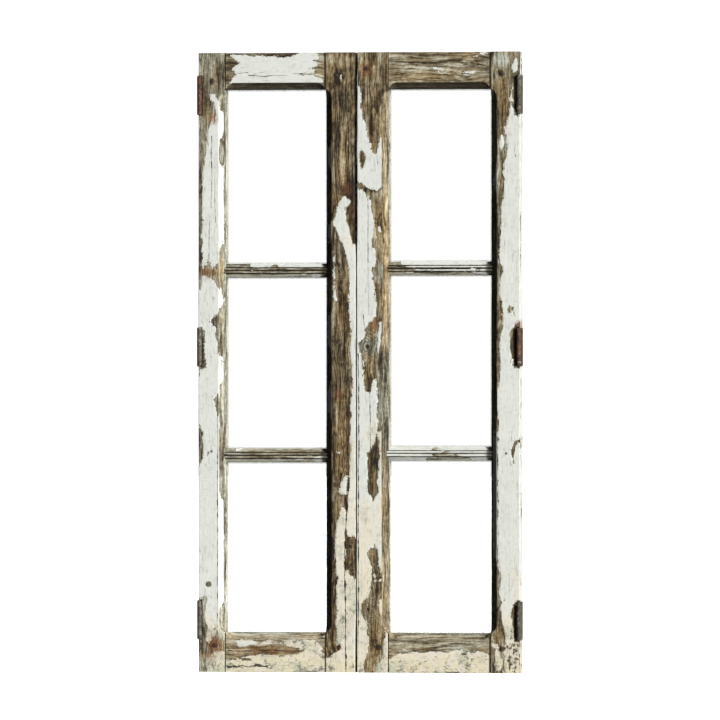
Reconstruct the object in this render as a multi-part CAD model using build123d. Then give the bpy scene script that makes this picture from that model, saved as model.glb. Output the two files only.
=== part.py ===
from build123d import *
import math
import os

# A pair of wooden casement leaves (a double casement window), closed, seen from the room.
# +X is to the right, +Z is up, and the moulded room face looks toward -Y.
# Each leaf is a mortised frame with two glazing bars and three puttied panes, and it swings
# into the room on three butt hinges. The frame-side hinge leaves and their pins stay still.
# All sizes are in millimetres. The origin is the bottom centre of the whole object.

# ---- overall sizes ----
HEIGHT = 1240.0
WOOD_WIDTH = 650.0
THICKNESS = 40.0
MEETING_GAP = 4.6
MEETING_GAP_CENTRE = -5.4

# ---- members, each width including its moulding ----
LEFT_HINGE_STILE = 55.0
LEFT_MEETING_STILE = 60.3
RIGHT_MEETING_STILE = 63.0
RIGHT_HINGE_STILE = 60.1
TOP_RAIL = 74.0
BOTTOM_RAIL = 80.0
BAR_WIDTH = 28.0
BAR_GROOVE = (1.5, 1.6)
BAR_FILLET = (2.2, 5.0)
BAR_QUIRK = (5.4, 6.6, 3.0)
BAR_BEVEL_DEPTH = 9.0
LEFT_BAR_CENTRES = {"lower": 434.0, "upper": 804.0}
RIGHT_BAR_CENTRES = {"lower": 438.0, "upper": 808.0}
LEFT_NAILS = [(-297.4, 1183.0), (-44.4, 1193.0), (-292.0, 53.4), (-39.4, 51.0)]
RIGHT_NAILS = [(15.6, 1207.0), (286.6, 1197.0), (40.6, 51.0), (286.6, 49.0)]
BAR_SET_BACK = 8.0

# ---- stuck moulding on the room side, cut by a spindle cutter ----
MOULDING = 12.5
CUTTER_OFFSET = 7.5
COVE_INNER = 4.5
COVE_DEPTH = 8.0
COVE_START = (-0.25, 1)
AHEAD = 2.0
QUIRK_FLOOR = 10.0
QUIRK_INNER = 2.2
MOULDING_DEPTH = 16.0

# ---- glazing rebate on the outdoor side ----
REBATE_WIDTH = 8.0
REBATE_DEPTH = 13.0
GLASS_THICKNESS = 3.0
GLASS_COVER = 6.0
PUTTY_SHY = 0.5
PUTTY_TOP = 1.5
SPRIG_LENGTH = 9.0
SPRIG_IN_WOOD = 5.0
SPRIG_SECTION = 1.6

# ---- joints between the members ----
TENON_THICKNESS = 13.0
TENON_HAUNCH = 18.0
TENON_SHOULDER = 10.0
BAR_TENON_LENGTH = 18.0
BAR_TENON_THICKNESS = 9.0
BAR_TENON_HEIGHT = 14.0
WEDGE_LENGTH = 36.0
WEDGE_THICKNESS = 4.0
NAIL_R = 1.6
NAIL_HEAD_R = 4.0
NAIL_LENGTH = 33.0
NAIL_PROUD = 1.0
NAIL_HEAD_SLOPE = 40
PLUG_R = 6.0
PLUG_LENGTH = 18.0
PLUG_PLACE = (21.0, 176.0)

# ---- butt hinges, three on each leaf ----
HINGE_LENGTH = 76.0
HINGE_CENTRES = {"bottom": 105.0, "middle": 651.0, "top": 1155.0}
PLATE = 2.0
PLATE_GAP = 0.8
PLATE_WIDTH = 28.0
BARREL_R = 4.8
PIN_R = 2.75
PIN_CLEARANCE = 0.05
KNUCKLES = 5
KNUCKLE_GAP = 0.3
BARREL_PROUD = 1.0
BARREL_CLEARANCE = 0.6
PIN_HEAD_R = 4.2
PIN_HEAD = 1.6
SCREW_SPACING = 26.0
SCREW_ROWS = {"frame": 13.0, "sash": 18.0}
SCREW_HOLE_R = 2.2
SHANK_R = 1.9
TIP_R = 0.3
SCREW_HEAD_R = 4.2
SCREW_HEAD = 1.2
SCREW_LENGTH = 24.0
SCREW_SLOT = 0.8

# ---- worked out from the sizes above ----
DEPTH = THICKNESS + BARREL_PROUD + BARREL_R
BACK = DEPTH / 2
FACE = BACK - THICKNESS
REBATE_Y = BACK - REBATE_DEPTH
GLASS_BACK = REBATE_Y + GLASS_THICKNESS
TENON_Y = FACE + (THICKNESS - TENON_THICKNESS) / 2
AXIS_Y = FACE - BARREL_PROUD
AXIS_IN = BARREL_R - PLATE - PLATE_GAP / 2
TOP_SIGHT = HEIGHT - TOP_RAIL
BOTTOM_SIGHT = BOTTOM_RAIL
CUTTER_R = MOULDING + CUTTER_OFFSET
STOP_RUN = math.sqrt(CUTTER_R**2 - CUTTER_OFFSET**2)


def block(x, y, z):
    """A box from three pairs of limits, given in either order."""
    low = [min(pair) for pair in (x, y, z)]
    size = [abs(pair[1] - pair[0]) for pair in (x, y, z)]
    return Pos(*low) * Box(*size, align=(Align.MIN, Align.MIN, Align.MIN))


def rod(radius, start, end):
    """A cylinder from one point to another."""
    line = Vector(*end) - Vector(*start)
    plane = Plane(origin=start, z_dir=line)
    return plane * Cylinder(radius, line.length, align=(Align.CENTER, Align.CENTER, Align.MIN))


def flare(radius_start, radius_end, start, end):
    """A cone's frustum from one point to another."""
    line = Vector(*end) - Vector(*start)
    plane = Plane(origin=start, z_dir=line)
    align = (Align.CENTER, Align.CENTER, Align.MIN)
    return plane * Cone(radius_start, radius_end, line.length, align=align)


def cutter_outline():
    """Half of the moulding cutter's section: (radius, y) from in front of the face to its tip."""
    cove_r = CUTTER_OFFSET + COVE_INNER
    start = (CUTTER_R, FACE)
    end = (cove_r, FACE + COVE_DEPTH)
    front = Polyline((0, FACE - AHEAD), (CUTTER_R, FACE - AHEAD), start)
    cove = TangentArc(start, end, tangent=COVE_START)
    inner = Polyline(
        end,
        (cove_r, FACE + QUIRK_FLOOR),
        (CUTTER_OFFSET + QUIRK_INNER, FACE + QUIRK_FLOOR),
        (CUTTER_OFFSET, FACE + MOULDING_DEPTH),
        (0, FACE + MOULDING_DEPTH),
        (0, FACE - AHEAD),
    )
    return front + cove + inner


def cutter_run(start, end):
    """The space that the cutter sweeps when its axis, along Y, moves from (x, z) to (x, z)."""
    half = make_face(cutter_outline())
    turned = revolve(half, axis=Axis.Y)
    length = math.dist(start, end)
    run = Vector(end[0] - start[0], 0, end[1] - start[1]).normalized()
    across = run.cross(Vector(0, 1, 0))
    plane = Plane(origin=(0, 0, 0), x_dir=across, z_dir=run)
    section = make_face(cutter_outline()) + make_face(mirror(cutter_outline(), Plane.YZ))
    # the section's plane has +Y along the object's +Y or -Y, so it is turned to match
    if plane.y_dir.Y < 0:
        plane = Plane(origin=(0, 0, 0), x_dir=-across, z_dir=run)
    swept = extrude(plane * section, amount=length, dir=run)
    ends = [Pos(x, 0, z) * turned for x, z in (start, end)]
    return [Pos(start[0], 0, start[1]) * swept] + ends


class Leaf:
    """One leaf's places: u runs from its hinge edge toward its meeting edge."""

    def __init__(self, name, hinge_x, meeting_x, hinge_stile, meeting_stile, bars, nails):
        self.name = name
        self.hinge_x = hinge_x
        self.meeting_x = meeting_x
        self.inward = 1.0 if meeting_x > hinge_x else -1.0
        self.sight_hinge = hinge_x + self.inward * hinge_stile
        self.sight_meeting = meeting_x - self.inward * meeting_stile
        self.bars = bars
        self.nails = nails

    def x(self, u):
        return self.hinge_x + self.inward * u

    def sights(self):
        """The glazed opening's side edges, each with the direction into its stile."""
        return (self.sight_hinge, -self.inward), (self.sight_meeting, self.inward)

    def panes(self):
        """Each pane's name with the heights of its opening's bottom and top edges."""
        low = self.bars["lower"]
        high = self.bars["upper"]
        half = BAR_WIDTH / 2
        return {
            "bottom": (BOTTOM_SIGHT, low - half),
            "middle": (low + half, high - half),
            "top": (high + half, TOP_SIGHT),
        }


def leaves():
    half = WOOD_WIDTH / 2
    left = Leaf(
        "left",
        -half,
        MEETING_GAP_CENTRE - MEETING_GAP / 2,
        LEFT_HINGE_STILE,
        LEFT_MEETING_STILE,
        LEFT_BAR_CENTRES,
        LEFT_NAILS,
    )
    right = Leaf(
        "right",
        half,
        MEETING_GAP_CENTRE + MEETING_GAP / 2,
        RIGHT_HINGE_STILE,
        RIGHT_MEETING_STILE,
        RIGHT_BAR_CENTRES,
        RIGHT_NAILS,
    )
    return left, right


def opening_block(leaf, grow, y, z):
    """A block across the glazed opening, grown sideways by so much into the stiles."""
    edges = [edge + side * grow for edge, side in leaf.sights()]
    return block(edges, y, z)


def tenon_heights(rail):
    if rail == "top":
        return TOP_SIGHT + TENON_SHOULDER, HEIGHT - TENON_HAUNCH
    return TENON_HAUNCH, BOTTOM_SIGHT - TENON_SHOULDER


def stile_blank(leaf, which):
    """A full-height stile with its moulding, and with the rebate for the glass."""
    outer = leaf.hinge_x if which == "hinge" else leaf.meeting_x
    sight, side = leaf.sights()[0 if which == "hinge" else 1]
    stile = block((outer, sight), (FACE, BACK), (0, HEIGHT))
    axis_x = sight - side * CUTTER_OFFSET
    run = ((axis_x, BOTTOM_SIGHT + STOP_RUN), (axis_x, TOP_SIGHT - STOP_RUN))
    stile = stile - cutter_run(*run)
    heights = (BOTTOM_SIGHT - REBATE_WIDTH, TOP_SIGHT + REBATE_WIDTH)
    return stile - opening_block(leaf, REBATE_WIDTH, (REBATE_Y, BACK + 1), heights)


def rail_solid(leaf, which):
    """A rail between the stiles, with a through tenon at each end."""
    low, high = (TOP_SIGHT, HEIGHT) if which == "top" else (0, BOTTOM_SIGHT)
    sight_z = TOP_SIGHT if which == "top" else BOTTOM_SIGHT
    up = 1 if which == "top" else -1
    body = opening_block(leaf, 0, (FACE, BACK), (low, high))
    axis_z = sight_z - up * CUTTER_OFFSET
    ends = sorted(edge for edge, side in leaf.sights())
    run = ((ends[0] + STOP_RUN, axis_z), (ends[1] - STOP_RUN, axis_z))
    body = body - cutter_run(*run)
    heights = (sight_z, sight_z + up * REBATE_WIDTH)
    body = body - opening_block(leaf, 0, (REBATE_Y, BACK + 1), heights)
    tenon = block(
        (leaf.hinge_x, leaf.meeting_x),
        (TENON_Y, TENON_Y + TENON_THICKNESS),
        tenon_heights(which),
    )
    return body + tenon


def rail_wedges(leaf):
    """The wedges that spread each tenon, two at each end of each rail."""
    wedges = []
    for rail in ("top", "bottom"):
        low, high = tenon_heights(rail)
        for edge, into in ((leaf.hinge_x, leaf.inward), (leaf.meeting_x, -leaf.inward)):
            for z, outward in ((low, -1), (high, 1)):
                outline = Polyline(
                    (edge, TENON_Y, z),
                    (edge, TENON_Y, z + outward * WEDGE_THICKNESS),
                    (edge + into * WEDGE_LENGTH, TENON_Y, z),
                    close=True,
                )
                wedges.append(extrude(make_face(outline), amount=TENON_THICKNESS, dir=(0, 1, 0)))
    return wedges


def bar_section(z):
    """A glazing bar's moulded front: a grooved nose, quirks and a bevel to each sight edge."""
    nose = FACE + BAR_SET_BACK
    quirk_in, quirk_out, quirk_depth = BAR_QUIRK
    half = [
        (0, nose + BAR_GROOVE[1]),
        (BAR_GROOVE[0], nose + BAR_GROOVE[1]),
        (BAR_FILLET[0], nose),
        (BAR_FILLET[1], nose),
        (quirk_in, nose + quirk_depth),
        (quirk_out, nose + quirk_depth),
        (BAR_WIDTH / 2, nose + BAR_BEVEL_DEPTH),
        (BAR_WIDTH / 2, REBATE_Y),
    ]
    points = [(0, y, z + w) for w, y in half] + [(0, y, z - w) for w, y in reversed(half[1:])]
    return make_face(Polyline(*points, close=True))


def bar_tenons(leaf, z):
    """The stub tenons at a bar's two ends."""
    y = (REBATE_Y - BAR_TENON_THICKNESS, REBATE_Y)
    height = (z - BAR_TENON_HEIGHT / 2, z + BAR_TENON_HEIGHT / 2)
    return [
        block((edge, edge + side * BAR_TENON_LENGTH), y, height)
        for edge, side in leaf.sights()
    ]


def bar_solid(leaf, z, blanks):
    """A glazing bar, its front coped over the stiles' mouldings."""
    ends = sorted(edge + side * MOULDING for edge, side in leaf.sights())
    front = extrude(Pos(ends[0], 0, 0) * bar_section(z), amount=ends[1] - ends[0], dir=(1, 0, 0))
    front = front - blanks
    tongue = BAR_WIDTH / 2 - REBATE_WIDTH
    back = opening_block(leaf, REBATE_WIDTH, (REBATE_Y, BACK), (z - tongue, z + tongue))
    bar = front + back
    for tenon in bar_tenons(leaf, z):
        bar = bar + tenon
    return bar


def pane_solid(leaf, heights):
    z = (heights[0] - GLASS_COVER, heights[1] + GLASS_COVER)
    return opening_block(leaf, GLASS_COVER, (REBATE_Y, GLASS_BACK), z)


def putty_solid(leaf, heights):
    """A bead of putty round the back of a pane, bevelled from the rebate to the sight edge."""
    y = (GLASS_BACK, BACK - PUTTY_SHY)
    z = (heights[0] - REBATE_WIDTH, heights[1] + REBATE_WIDTH)
    full = opening_block(leaf, REBATE_WIDTH, y, z)
    faces = []
    for grow, level in ((0.0, y[0]), (REBATE_WIDTH - PUTTY_TOP, y[1])):
        x0, x1 = sorted(edge + side * grow for edge, side in leaf.sights())
        z0 = heights[0] - grow
        z1 = heights[1] + grow
        corners = [(x0, level, z0), (x1, level, z0), (x1, level, z1), (x0, level, z1)]
        faces.append(make_face(Polyline(*corners, close=True)))
    return full - loft(faces)


def pane_sprigs(leaf, heights):
    """Four glazing sprigs driven into the stiles, flat against the back of a pane."""
    sprigs = []
    third = (heights[1] - heights[0]) / 3
    for edge, side in leaf.sights():
        wall = edge + side * REBATE_WIDTH
        x = (wall + side * SPRIG_IN_WOOD, wall + side * (SPRIG_IN_WOOD - SPRIG_LENGTH))
        for z in (heights[0] + third, heights[1] - third):
            height = (z - SPRIG_SECTION / 2, z + SPRIG_SECTION / 2)
            sprigs.append(block(x, (GLASS_BACK, GLASS_BACK + SPRIG_SECTION), height))
    return sprigs


def nail_solid(x, z):
    """A wrought nail through a tenon, its faceted rose head standing proud of the face."""
    shank = rod(NAIL_R, (x, FACE, z), (x, FACE + NAIL_LENGTH, z))
    outline = RegularPolygon(NAIL_HEAD_R, 6)
    plane = Plane(origin=(x, FACE, z), z_dir=(0, -1, 0))
    head = extrude(plane * outline, amount=NAIL_PROUD, taper=NAIL_HEAD_SLOPE)
    return shank + head


def hinge_axis(leaf):
    return leaf.x(AXIS_IN), AXIS_Y


def knuckle_spans(z, owner):
    """The stretches of barrel that belong to the frame's leaf or to the sash's leaf."""
    pitch = HINGE_LENGTH / KNUCKLES
    bottom = z - HINGE_LENGTH / 2
    first = 0 if owner == "frame" else 1
    return [
        (bottom + i * pitch + KNUCKLE_GAP / 2, bottom + (i + 1) * pitch - KNUCKLE_GAP / 2)
        for i in range(first, KNUCKLES, 2)
    ]


def hinge_plate_y():
    return AXIS_Y, AXIS_Y + PLATE_WIDTH


def screw_places(z, owner):
    """A hinge leaf's three holes as (y, z). The two leaves' rows are staggered."""
    return [(AXIS_Y + SCREW_ROWS[owner], z + step * SCREW_SPACING) for step in (-1, 0, 1)]


def countersunk_hole(x_head, x_far, y, z):
    """A screw's clearance hole through a plate, countersunk at its head's side."""
    direction = 1 if x_far > x_head else -1
    sink_end = (x_head + direction * SCREW_HEAD, y, z)
    sink = flare(SCREW_HEAD_R, SCREW_HOLE_R, (x_head, y, z), sink_end)
    return [rod(SCREW_HOLE_R, (x_head, y, z), (x_far, y, z)), sink]


def hinge_leaf(leaf, z, owner):
    """One leaf of a butt hinge: a plate, its rolled knuckles and its countersunk holes."""
    x, y = hinge_axis(leaf)
    ends = (z - HINGE_LENGTH / 2, z + HINGE_LENGTH / 2)
    if owner == "frame":
        near, far = -PLATE_GAP / 2, -PLATE_GAP / 2 - PLATE
    else:
        near, far = PLATE_GAP / 2, PLATE_GAP / 2 + PLATE
    limits = (leaf.x(near), leaf.x(far))
    clear = rod(BARREL_R + KNUCKLE_GAP, (x, y, ends[0] - 1), (x, y, ends[1] + 1))
    result = block(limits, hinge_plate_y(), ends) - clear
    for low, high in knuckle_spans(z, owner):
        root = block(limits, hinge_plate_y(), (low, high))
        root = root - rod((PIN_R + BARREL_R) / 2, (x, y, low), (x, y, high))
        result = result + root + rod(BARREL_R, (x, y, low), (x, y, high))
    bore = PIN_R + PIN_CLEARANCE
    result = result - rod(bore, (x, y, ends[0] - 1), (x, y, ends[1] + 1))
    for hole_y, hole_z in screw_places(z, owner):
        result = result - countersunk_hole(leaf.x(near), leaf.x(far), hole_y, hole_z)
    return result


def hinge_pin(leaf, z):
    """A hinge's pin, with a low button head at each end."""
    x, y = hinge_axis(leaf)
    half = HINGE_LENGTH / 2
    pin = rod(PIN_R, (x, y, z - half), (x, y, z + half))
    for way in (-1, 1):
        end = z + way * half
        pin = pin + flare(PIN_HEAD_R, PIN_R, (x, y, end), (x, y, end + way * PIN_HEAD))
    return pin


def wood_screw(leaf, y, z):
    """A slotted countersunk screw through the sash's plate into the stile's edge."""
    head = PLATE_GAP / 2
    neck = head + SCREW_HEAD
    tip = head + SCREW_LENGTH
    taper = tip - 2 * SHANK_R
    screw = flare(SCREW_HEAD_R, SHANK_R, (leaf.x(head), y, z), (leaf.x(neck), y, z))
    screw = screw + rod(SHANK_R, (leaf.x(neck), y, z), (leaf.x(taper), y, z))
    screw = screw + flare(SHANK_R, TIP_R, (leaf.x(taper), y, z), (leaf.x(tip), y, z))
    slot = block(
        (leaf.x(head - 1), leaf.x(head + SCREW_SLOT / 2)),
        (y - SCREW_HEAD_R, y + SCREW_HEAD_R),
        (z - SCREW_SLOT / 2, z + SCREW_SLOT / 2),
    )
    return screw, screw - slot


def hinge_pocket(leaf, z):
    """What is let into the stile for a hinge: the plate's bed and room for the barrel."""
    x, y = hinge_axis(leaf)
    half = HINGE_LENGTH / 2
    bed = block((leaf.x(-1), leaf.x(PLATE_GAP / 2 + PLATE)), hinge_plate_y(), (z - half, z + half))
    spare = half + PIN_HEAD + BARREL_CLEARANCE
    room = rod(BARREL_R + BARREL_CLEARANCE, (x, y, z - spare), (x, y, z + spare))
    return [bed, room]


def stile_plug(leaf):
    """A round wooden plug let into the face of the hinge stile, low down."""
    x = leaf.x(PLUG_PLACE[0])
    z = PLUG_PLACE[1]
    return rod(PLUG_R, (x, FACE, z), (x, FACE + PLUG_LENGTH, z))


def build_leaf(leaf):
    """Every piece that swings with one leaf, by name."""
    blanks = {which: stile_blank(leaf, which) for which in ("hinge", "meeting")}
    rails = {which: rail_solid(leaf, which) for which in ("top", "bottom")}
    wedges = rail_wedges(leaf)
    nails = [nail_solid(x, z) for x, z in leaf.nails]
    screws = []
    pockets = []
    for z in HINGE_CENTRES.values():
        pockets += hinge_pocket(leaf, z)
        screws += [wood_screw(leaf, *place) for place in screw_places(z, "sash")]
    solid_screws = [whole for whole, slotted in screws]
    sprigs = [sprig for heights in leaf.panes().values() for sprig in pane_sprigs(leaf, heights)]
    bars = {
        which: bar_solid(leaf, z, [blanks["hinge"], blanks["meeting"]])
        for which, z in leaf.bars.items()
    }
    mortises = list(wedges)
    for which in ("top", "bottom"):
        y = (TENON_Y, TENON_Y + TENON_THICKNESS)
        mortises.append(block((leaf.hinge_x, leaf.meeting_x), y, tenon_heights(which)))
    for z in leaf.bars.values():
        mortises += bar_tenons(leaf, z)
    stiles = {which: blanks[which] - mortises - nails - sprigs for which in blanks}
    stiles["hinge"] = stiles["hinge"] - pockets - solid_screws
    nodes = {}
    if leaf.name == "left":
        plug = stile_plug(leaf)
        stiles["hinge"] = stiles["hinge"] - plug
        nodes["stile_plug"] = plug
    for which, stile in stiles.items():
        nodes[f"{which}_stile"] = stile
    for which, rail in rails.items():
        nodes[f"{which}_rail"] = rail - nails - pockets - solid_screws
    for which, bar in bars.items():
        nodes[f"{which}_glazing_bar"] = bar
    for which, heights in leaf.panes().items():
        nodes[f"{which}_pane"] = pane_solid(leaf, heights)
        nodes[f"{which}_putty"] = putty_solid(leaf, heights) - pane_sprigs(leaf, heights)
    for which, z in HINGE_CENTRES.items():
        nodes[f"{which}_sash_hinge"] = hinge_leaf(leaf, z, "sash")
    nodes["tenon_wedges"] = Compound(children=[wedge - pockets - solid_screws for wedge in wedges])
    nodes["corner_nails"] = Compound(children=nails)
    nodes["hinge_screws"] = Compound(children=[slotted for whole, slotted in screws])
    nodes["glazing_sprigs"] = Compound(children=sprigs)
    return nodes


def build_frame_side(leaf):
    """The hinge leaves that screw to the window's frame, and the pins they carry."""
    nodes = {}
    for which, z in HINGE_CENTRES.items():
        nodes[f"{which}_frame_hinge"] = hinge_leaf(leaf, z, "frame")
        nodes[f"{which}_hinge_pin"] = hinge_pin(leaf, z)
    return nodes


def main():
    os.makedirs("parts", exist_ok=True)
    for leaf in leaves():
        for name, shape in {**build_leaf(leaf), **build_frame_side(leaf)}.items():
            export_step(shape, f"parts/{leaf.name}_{name}.step")


main()
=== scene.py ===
"""An old pair of wooden casement leaves in flaking white paint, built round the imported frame.

Lengths are in millimetres until a mesh is made, and then in metres. Every member of a leaf is a
closed lofted surface: a section across the member, repeated at stations along it. Each vertex
carries how far it lies inside the paint, and the material breaks that line up into ragged flakes.
"""

import itertools
import math

import bmesh
import bpy
import numpy as np
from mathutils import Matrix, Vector


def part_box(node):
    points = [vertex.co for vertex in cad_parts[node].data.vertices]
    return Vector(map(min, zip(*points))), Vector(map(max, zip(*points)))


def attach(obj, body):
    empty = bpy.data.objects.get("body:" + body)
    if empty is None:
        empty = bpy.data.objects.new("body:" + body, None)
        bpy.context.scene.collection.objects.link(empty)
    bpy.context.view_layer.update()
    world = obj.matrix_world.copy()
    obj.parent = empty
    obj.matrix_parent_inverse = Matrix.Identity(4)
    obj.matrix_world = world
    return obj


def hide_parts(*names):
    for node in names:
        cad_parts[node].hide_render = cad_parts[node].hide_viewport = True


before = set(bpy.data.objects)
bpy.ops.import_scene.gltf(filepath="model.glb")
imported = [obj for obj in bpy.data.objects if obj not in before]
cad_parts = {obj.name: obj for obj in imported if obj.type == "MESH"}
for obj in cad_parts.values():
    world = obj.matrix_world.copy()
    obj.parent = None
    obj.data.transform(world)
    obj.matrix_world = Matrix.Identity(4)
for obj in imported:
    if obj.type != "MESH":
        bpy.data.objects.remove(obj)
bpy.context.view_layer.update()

MM = 0.001

# ---- the frame's levels, read from the CAD nodes, in mm ----


def node_box(node):
    low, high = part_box(node)
    return np.array(low) / MM, np.array(high) / MM


FACE = node_box("left_hinge_stile")[0][1]
BACK = node_box("left_hinge_stile")[1][1]
HEIGHT = node_box("left_hinge_stile")[1][2]
GLASS_FRONT = node_box("left_top_pane")[0][1]
BAR_FRONT = node_box("left_upper_glazing_bar")[0][1]
HINGES = [
    (node_box(f"left_{w}_sash_hinge")[0][2], node_box(f"left_{w}_sash_hinge")[1][2])
    for w in ("bottom", "middle", "top")
]
PLATE_END = node_box("left_top_sash_hinge")[1][1]
BARREL_FRONT = node_box("left_top_sash_hinge")[0][1]

# ---- the moulding and rebate that the CAD cuts ----
MOULDING = 12.5
CUTTER_OFFSET = 7.5
COVE_CENTRE = (9.33, -2.67)
COVE_RADIUS = 11.0
COVE_TURN = (14.04, 75.96)
COVE_DEPTH = 8.5
MOULDING_DEPTH = 16.0
REBATE = 8.0
STOP_RUN = 18.54

# ---- the hinge beds: the barrel, the room round it, the plate's depth and the room past its ends ----
BARREL_RADIUS = 4.8
BARREL_ROOM = 5.4
PLATE_BED = 2.4
BED_ENDS = 2.2
# the radius of a worn outer arris
ARRIS = 1.2

# ---- fineness of the meshes ----
ACROSS_STEP = 1.6
ALONG_STEP = 2.0
STEP_EDGE = 0.05
STEP_CLEAR = 0.4
GOUGE_STEPS = 6

# ---- how far the bare surface lies inside the CAD's, and how thick the paint on it is ----
SKIN = 0.4
PAINT_THICKNESS = 0.35

# ---- numbers at a vertex: sound paint, none at all, far from any knot, and the painted shade inside an open joint ----
SOUND = 14.0
GONE = -5.0
NO_KNOT = 9.0
JOINT_PAINTED_SHADE = 0.9


# ==== noise ====


def hashed(cell, seed):
    """A repeatable value in -1..1 for each row of whole numbers."""
    n = cell[:, 0] * 374761393 + cell[:, 1] * 668265263 + cell[:, 2] * 1440662683 + seed * 974711
    n = (n ^ (n >> 13)) & 0x7FFFFFFF
    n = (n * 1274126177) & 0x7FFFFFFF
    n = (n ^ (n >> 16)) & 0xFFFF
    return n / 32767.5 - 1.0


def noise(points, size, seed, octaves=1):
    """Smooth noise in -1..1 at points, with lumps about as large as size, in mm."""
    total = np.zeros(len(points))
    weight = 1.0
    reach = 0.0
    for octave in range(octaves):
        place = points / (np.array(size) / 2.0**octave)
        base = np.floor(place).astype(np.int64)
        part = place - base
        part = part * part * (3 - 2 * part)
        value = np.zeros(len(points))
        for corner in itertools.product((0, 1), repeat=3):
            share = np.prod(np.where(np.array(corner) == 1, part, 1 - part), axis=1)
            value += share * hashed(base + np.array(corner), seed + octave * 17)
        total += weight * value
        reach += weight
        weight *= 0.5
    return total / reach


def ramp_up(value, low, high):
    """A smooth rise from 0 at low to 1 at high."""
    t = np.clip((value - low) / (high - low), 0, 1)
    return t * t * (3 - 2 * t)


def depth_inside(places, outline):
    """How far each place lies inside a closed outline, in mm; negative outside it."""
    corners = np.array(outline, float)
    nearest = np.full(len(places), 1e9)
    inside = np.zeros(len(places), bool)
    for a, b in zip(corners, np.roll(corners, -1, axis=0)):
        edge = b - a
        offset = places - a
        share = np.clip(offset @ edge / max(edge @ edge, 1e-9), 0, 1)
        nearest = np.minimum(nearest, np.linalg.norm(offset - share[:, None] * edge, axis=1))
        crosses = (a[1] > places[:, 1]) != (b[1] > places[:, 1])
        if a[1] != b[1]:
            at = a[0] + (places[:, 1] - a[1]) / (b[1] - a[1]) * edge[0]
            inside ^= crosses & (places[:, 0] < at)
    return np.where(inside, nearest, -nearest)


# ==== members ====

FRONT, COVE, FILLET, SIGHT, REAR, EDGE = range(6)


def moulding_profile():
    """The cutter's section from the face inward: (radius, depth), a cove, a quirk and a fillet."""
    cove = []
    for i in range(7):
        turn = math.radians(COVE_TURN[0] + (COVE_TURN[1] - COVE_TURN[0]) * i / 6)
        x = COVE_CENTRE[0] + COVE_RADIUS * math.cos(turn)
        y = COVE_CENTRE[1] + COVE_RADIUS * math.sin(turn)
        cove.append((x, y))
    inner = [(12.0, 9.0), (12.0, 10.0), (10.9, 10.0), (9.7, 10.0), (9.0, 12.0), (8.2, 14.0), (7.5, 16.0)]
    return cove + inner


class Member:
    """A stile or rail. Across runs from its outer edge to its sight edge, along runs up or right."""

    def __init__(self, node, upright, seed):
        self.node = node
        self.leaf = node.split("_")[0]
        self.upright = upright
        self.seed = seed
        low, high = node_box(node)
        hinge = f"{self.leaf}_hinge_stile"
        meeting = f"{self.leaf}_meeting_stile"
        sights = sorted([node_box(hinge), node_box(meeting)], key=lambda b: b[0][0])
        self.opening_x = (sights[0][1][0], sights[1][0][0])
        self.opening_z = (
            node_box(f"{self.leaf}_bottom_rail")[1][2],
            node_box(f"{self.leaf}_top_rail")[0][2],
        )
        if upright:
            self.start, self.end = low[2], high[2]
            self.stops = self.opening_z
            inner_left = abs(high[0] - self.opening_x[0]) < 1
            self.outer = low[0] if inner_left else high[0]
            self.toward = 1.0 if inner_left else -1.0
            self.width = high[0] - low[0]
            self.pocketed = "hinge" in node
            self.rebate = (self.stops[0] - REBATE, self.stops[1] + REBATE)
        else:
            self.start, self.end = self.opening_x
            self.stops = self.opening_x
            top = "top" in node
            self.outer = high[2] if top else low[2]
            self.toward = -1.0 if top else 1.0
            self.width = high[2] - low[2]
            self.pocketed = False
            self.rebate = (self.start - 1, self.end + 1)

    def world(self, across, depth, along):
        """Places in the row frame, in mm."""
        side = self.outer + self.toward * across
        if self.upright:
            return np.stack([side, depth, along], axis=-1)
        return np.stack([along, depth, side], axis=-1)


def lie(member, size):
    """A size written for a stile as (x, y, z), turned on its side for a rail."""
    return np.array(size if member.upright else size[::-1])


def stations(member):
    """Where sections stand along a member, with a close pair at each sudden step."""
    count = int(round((member.end - member.start) / ALONG_STEP))
    marks = list(np.linspace(member.start, member.end, count + 1))
    steps = [s for s in member.rebate if member.start < s < member.end]
    if member.pocketed:
        for low, high in HINGES:
            steps += [low, high, low - BED_ENDS, high + BED_ENDS]
    for step in steps:
        marks = [m for m in marks if abs(m - step) > STEP_CLEAR]
        marks += [step - STEP_EDGE, step + STEP_EDGE]
    return np.array(sorted(marks))


def spread(start, end, count):
    """Columns evenly between two arrays, without the last one."""
    share = np.arange(count) / count
    return start[:, None] * (1 - share) + end[:, None] * share


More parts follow.
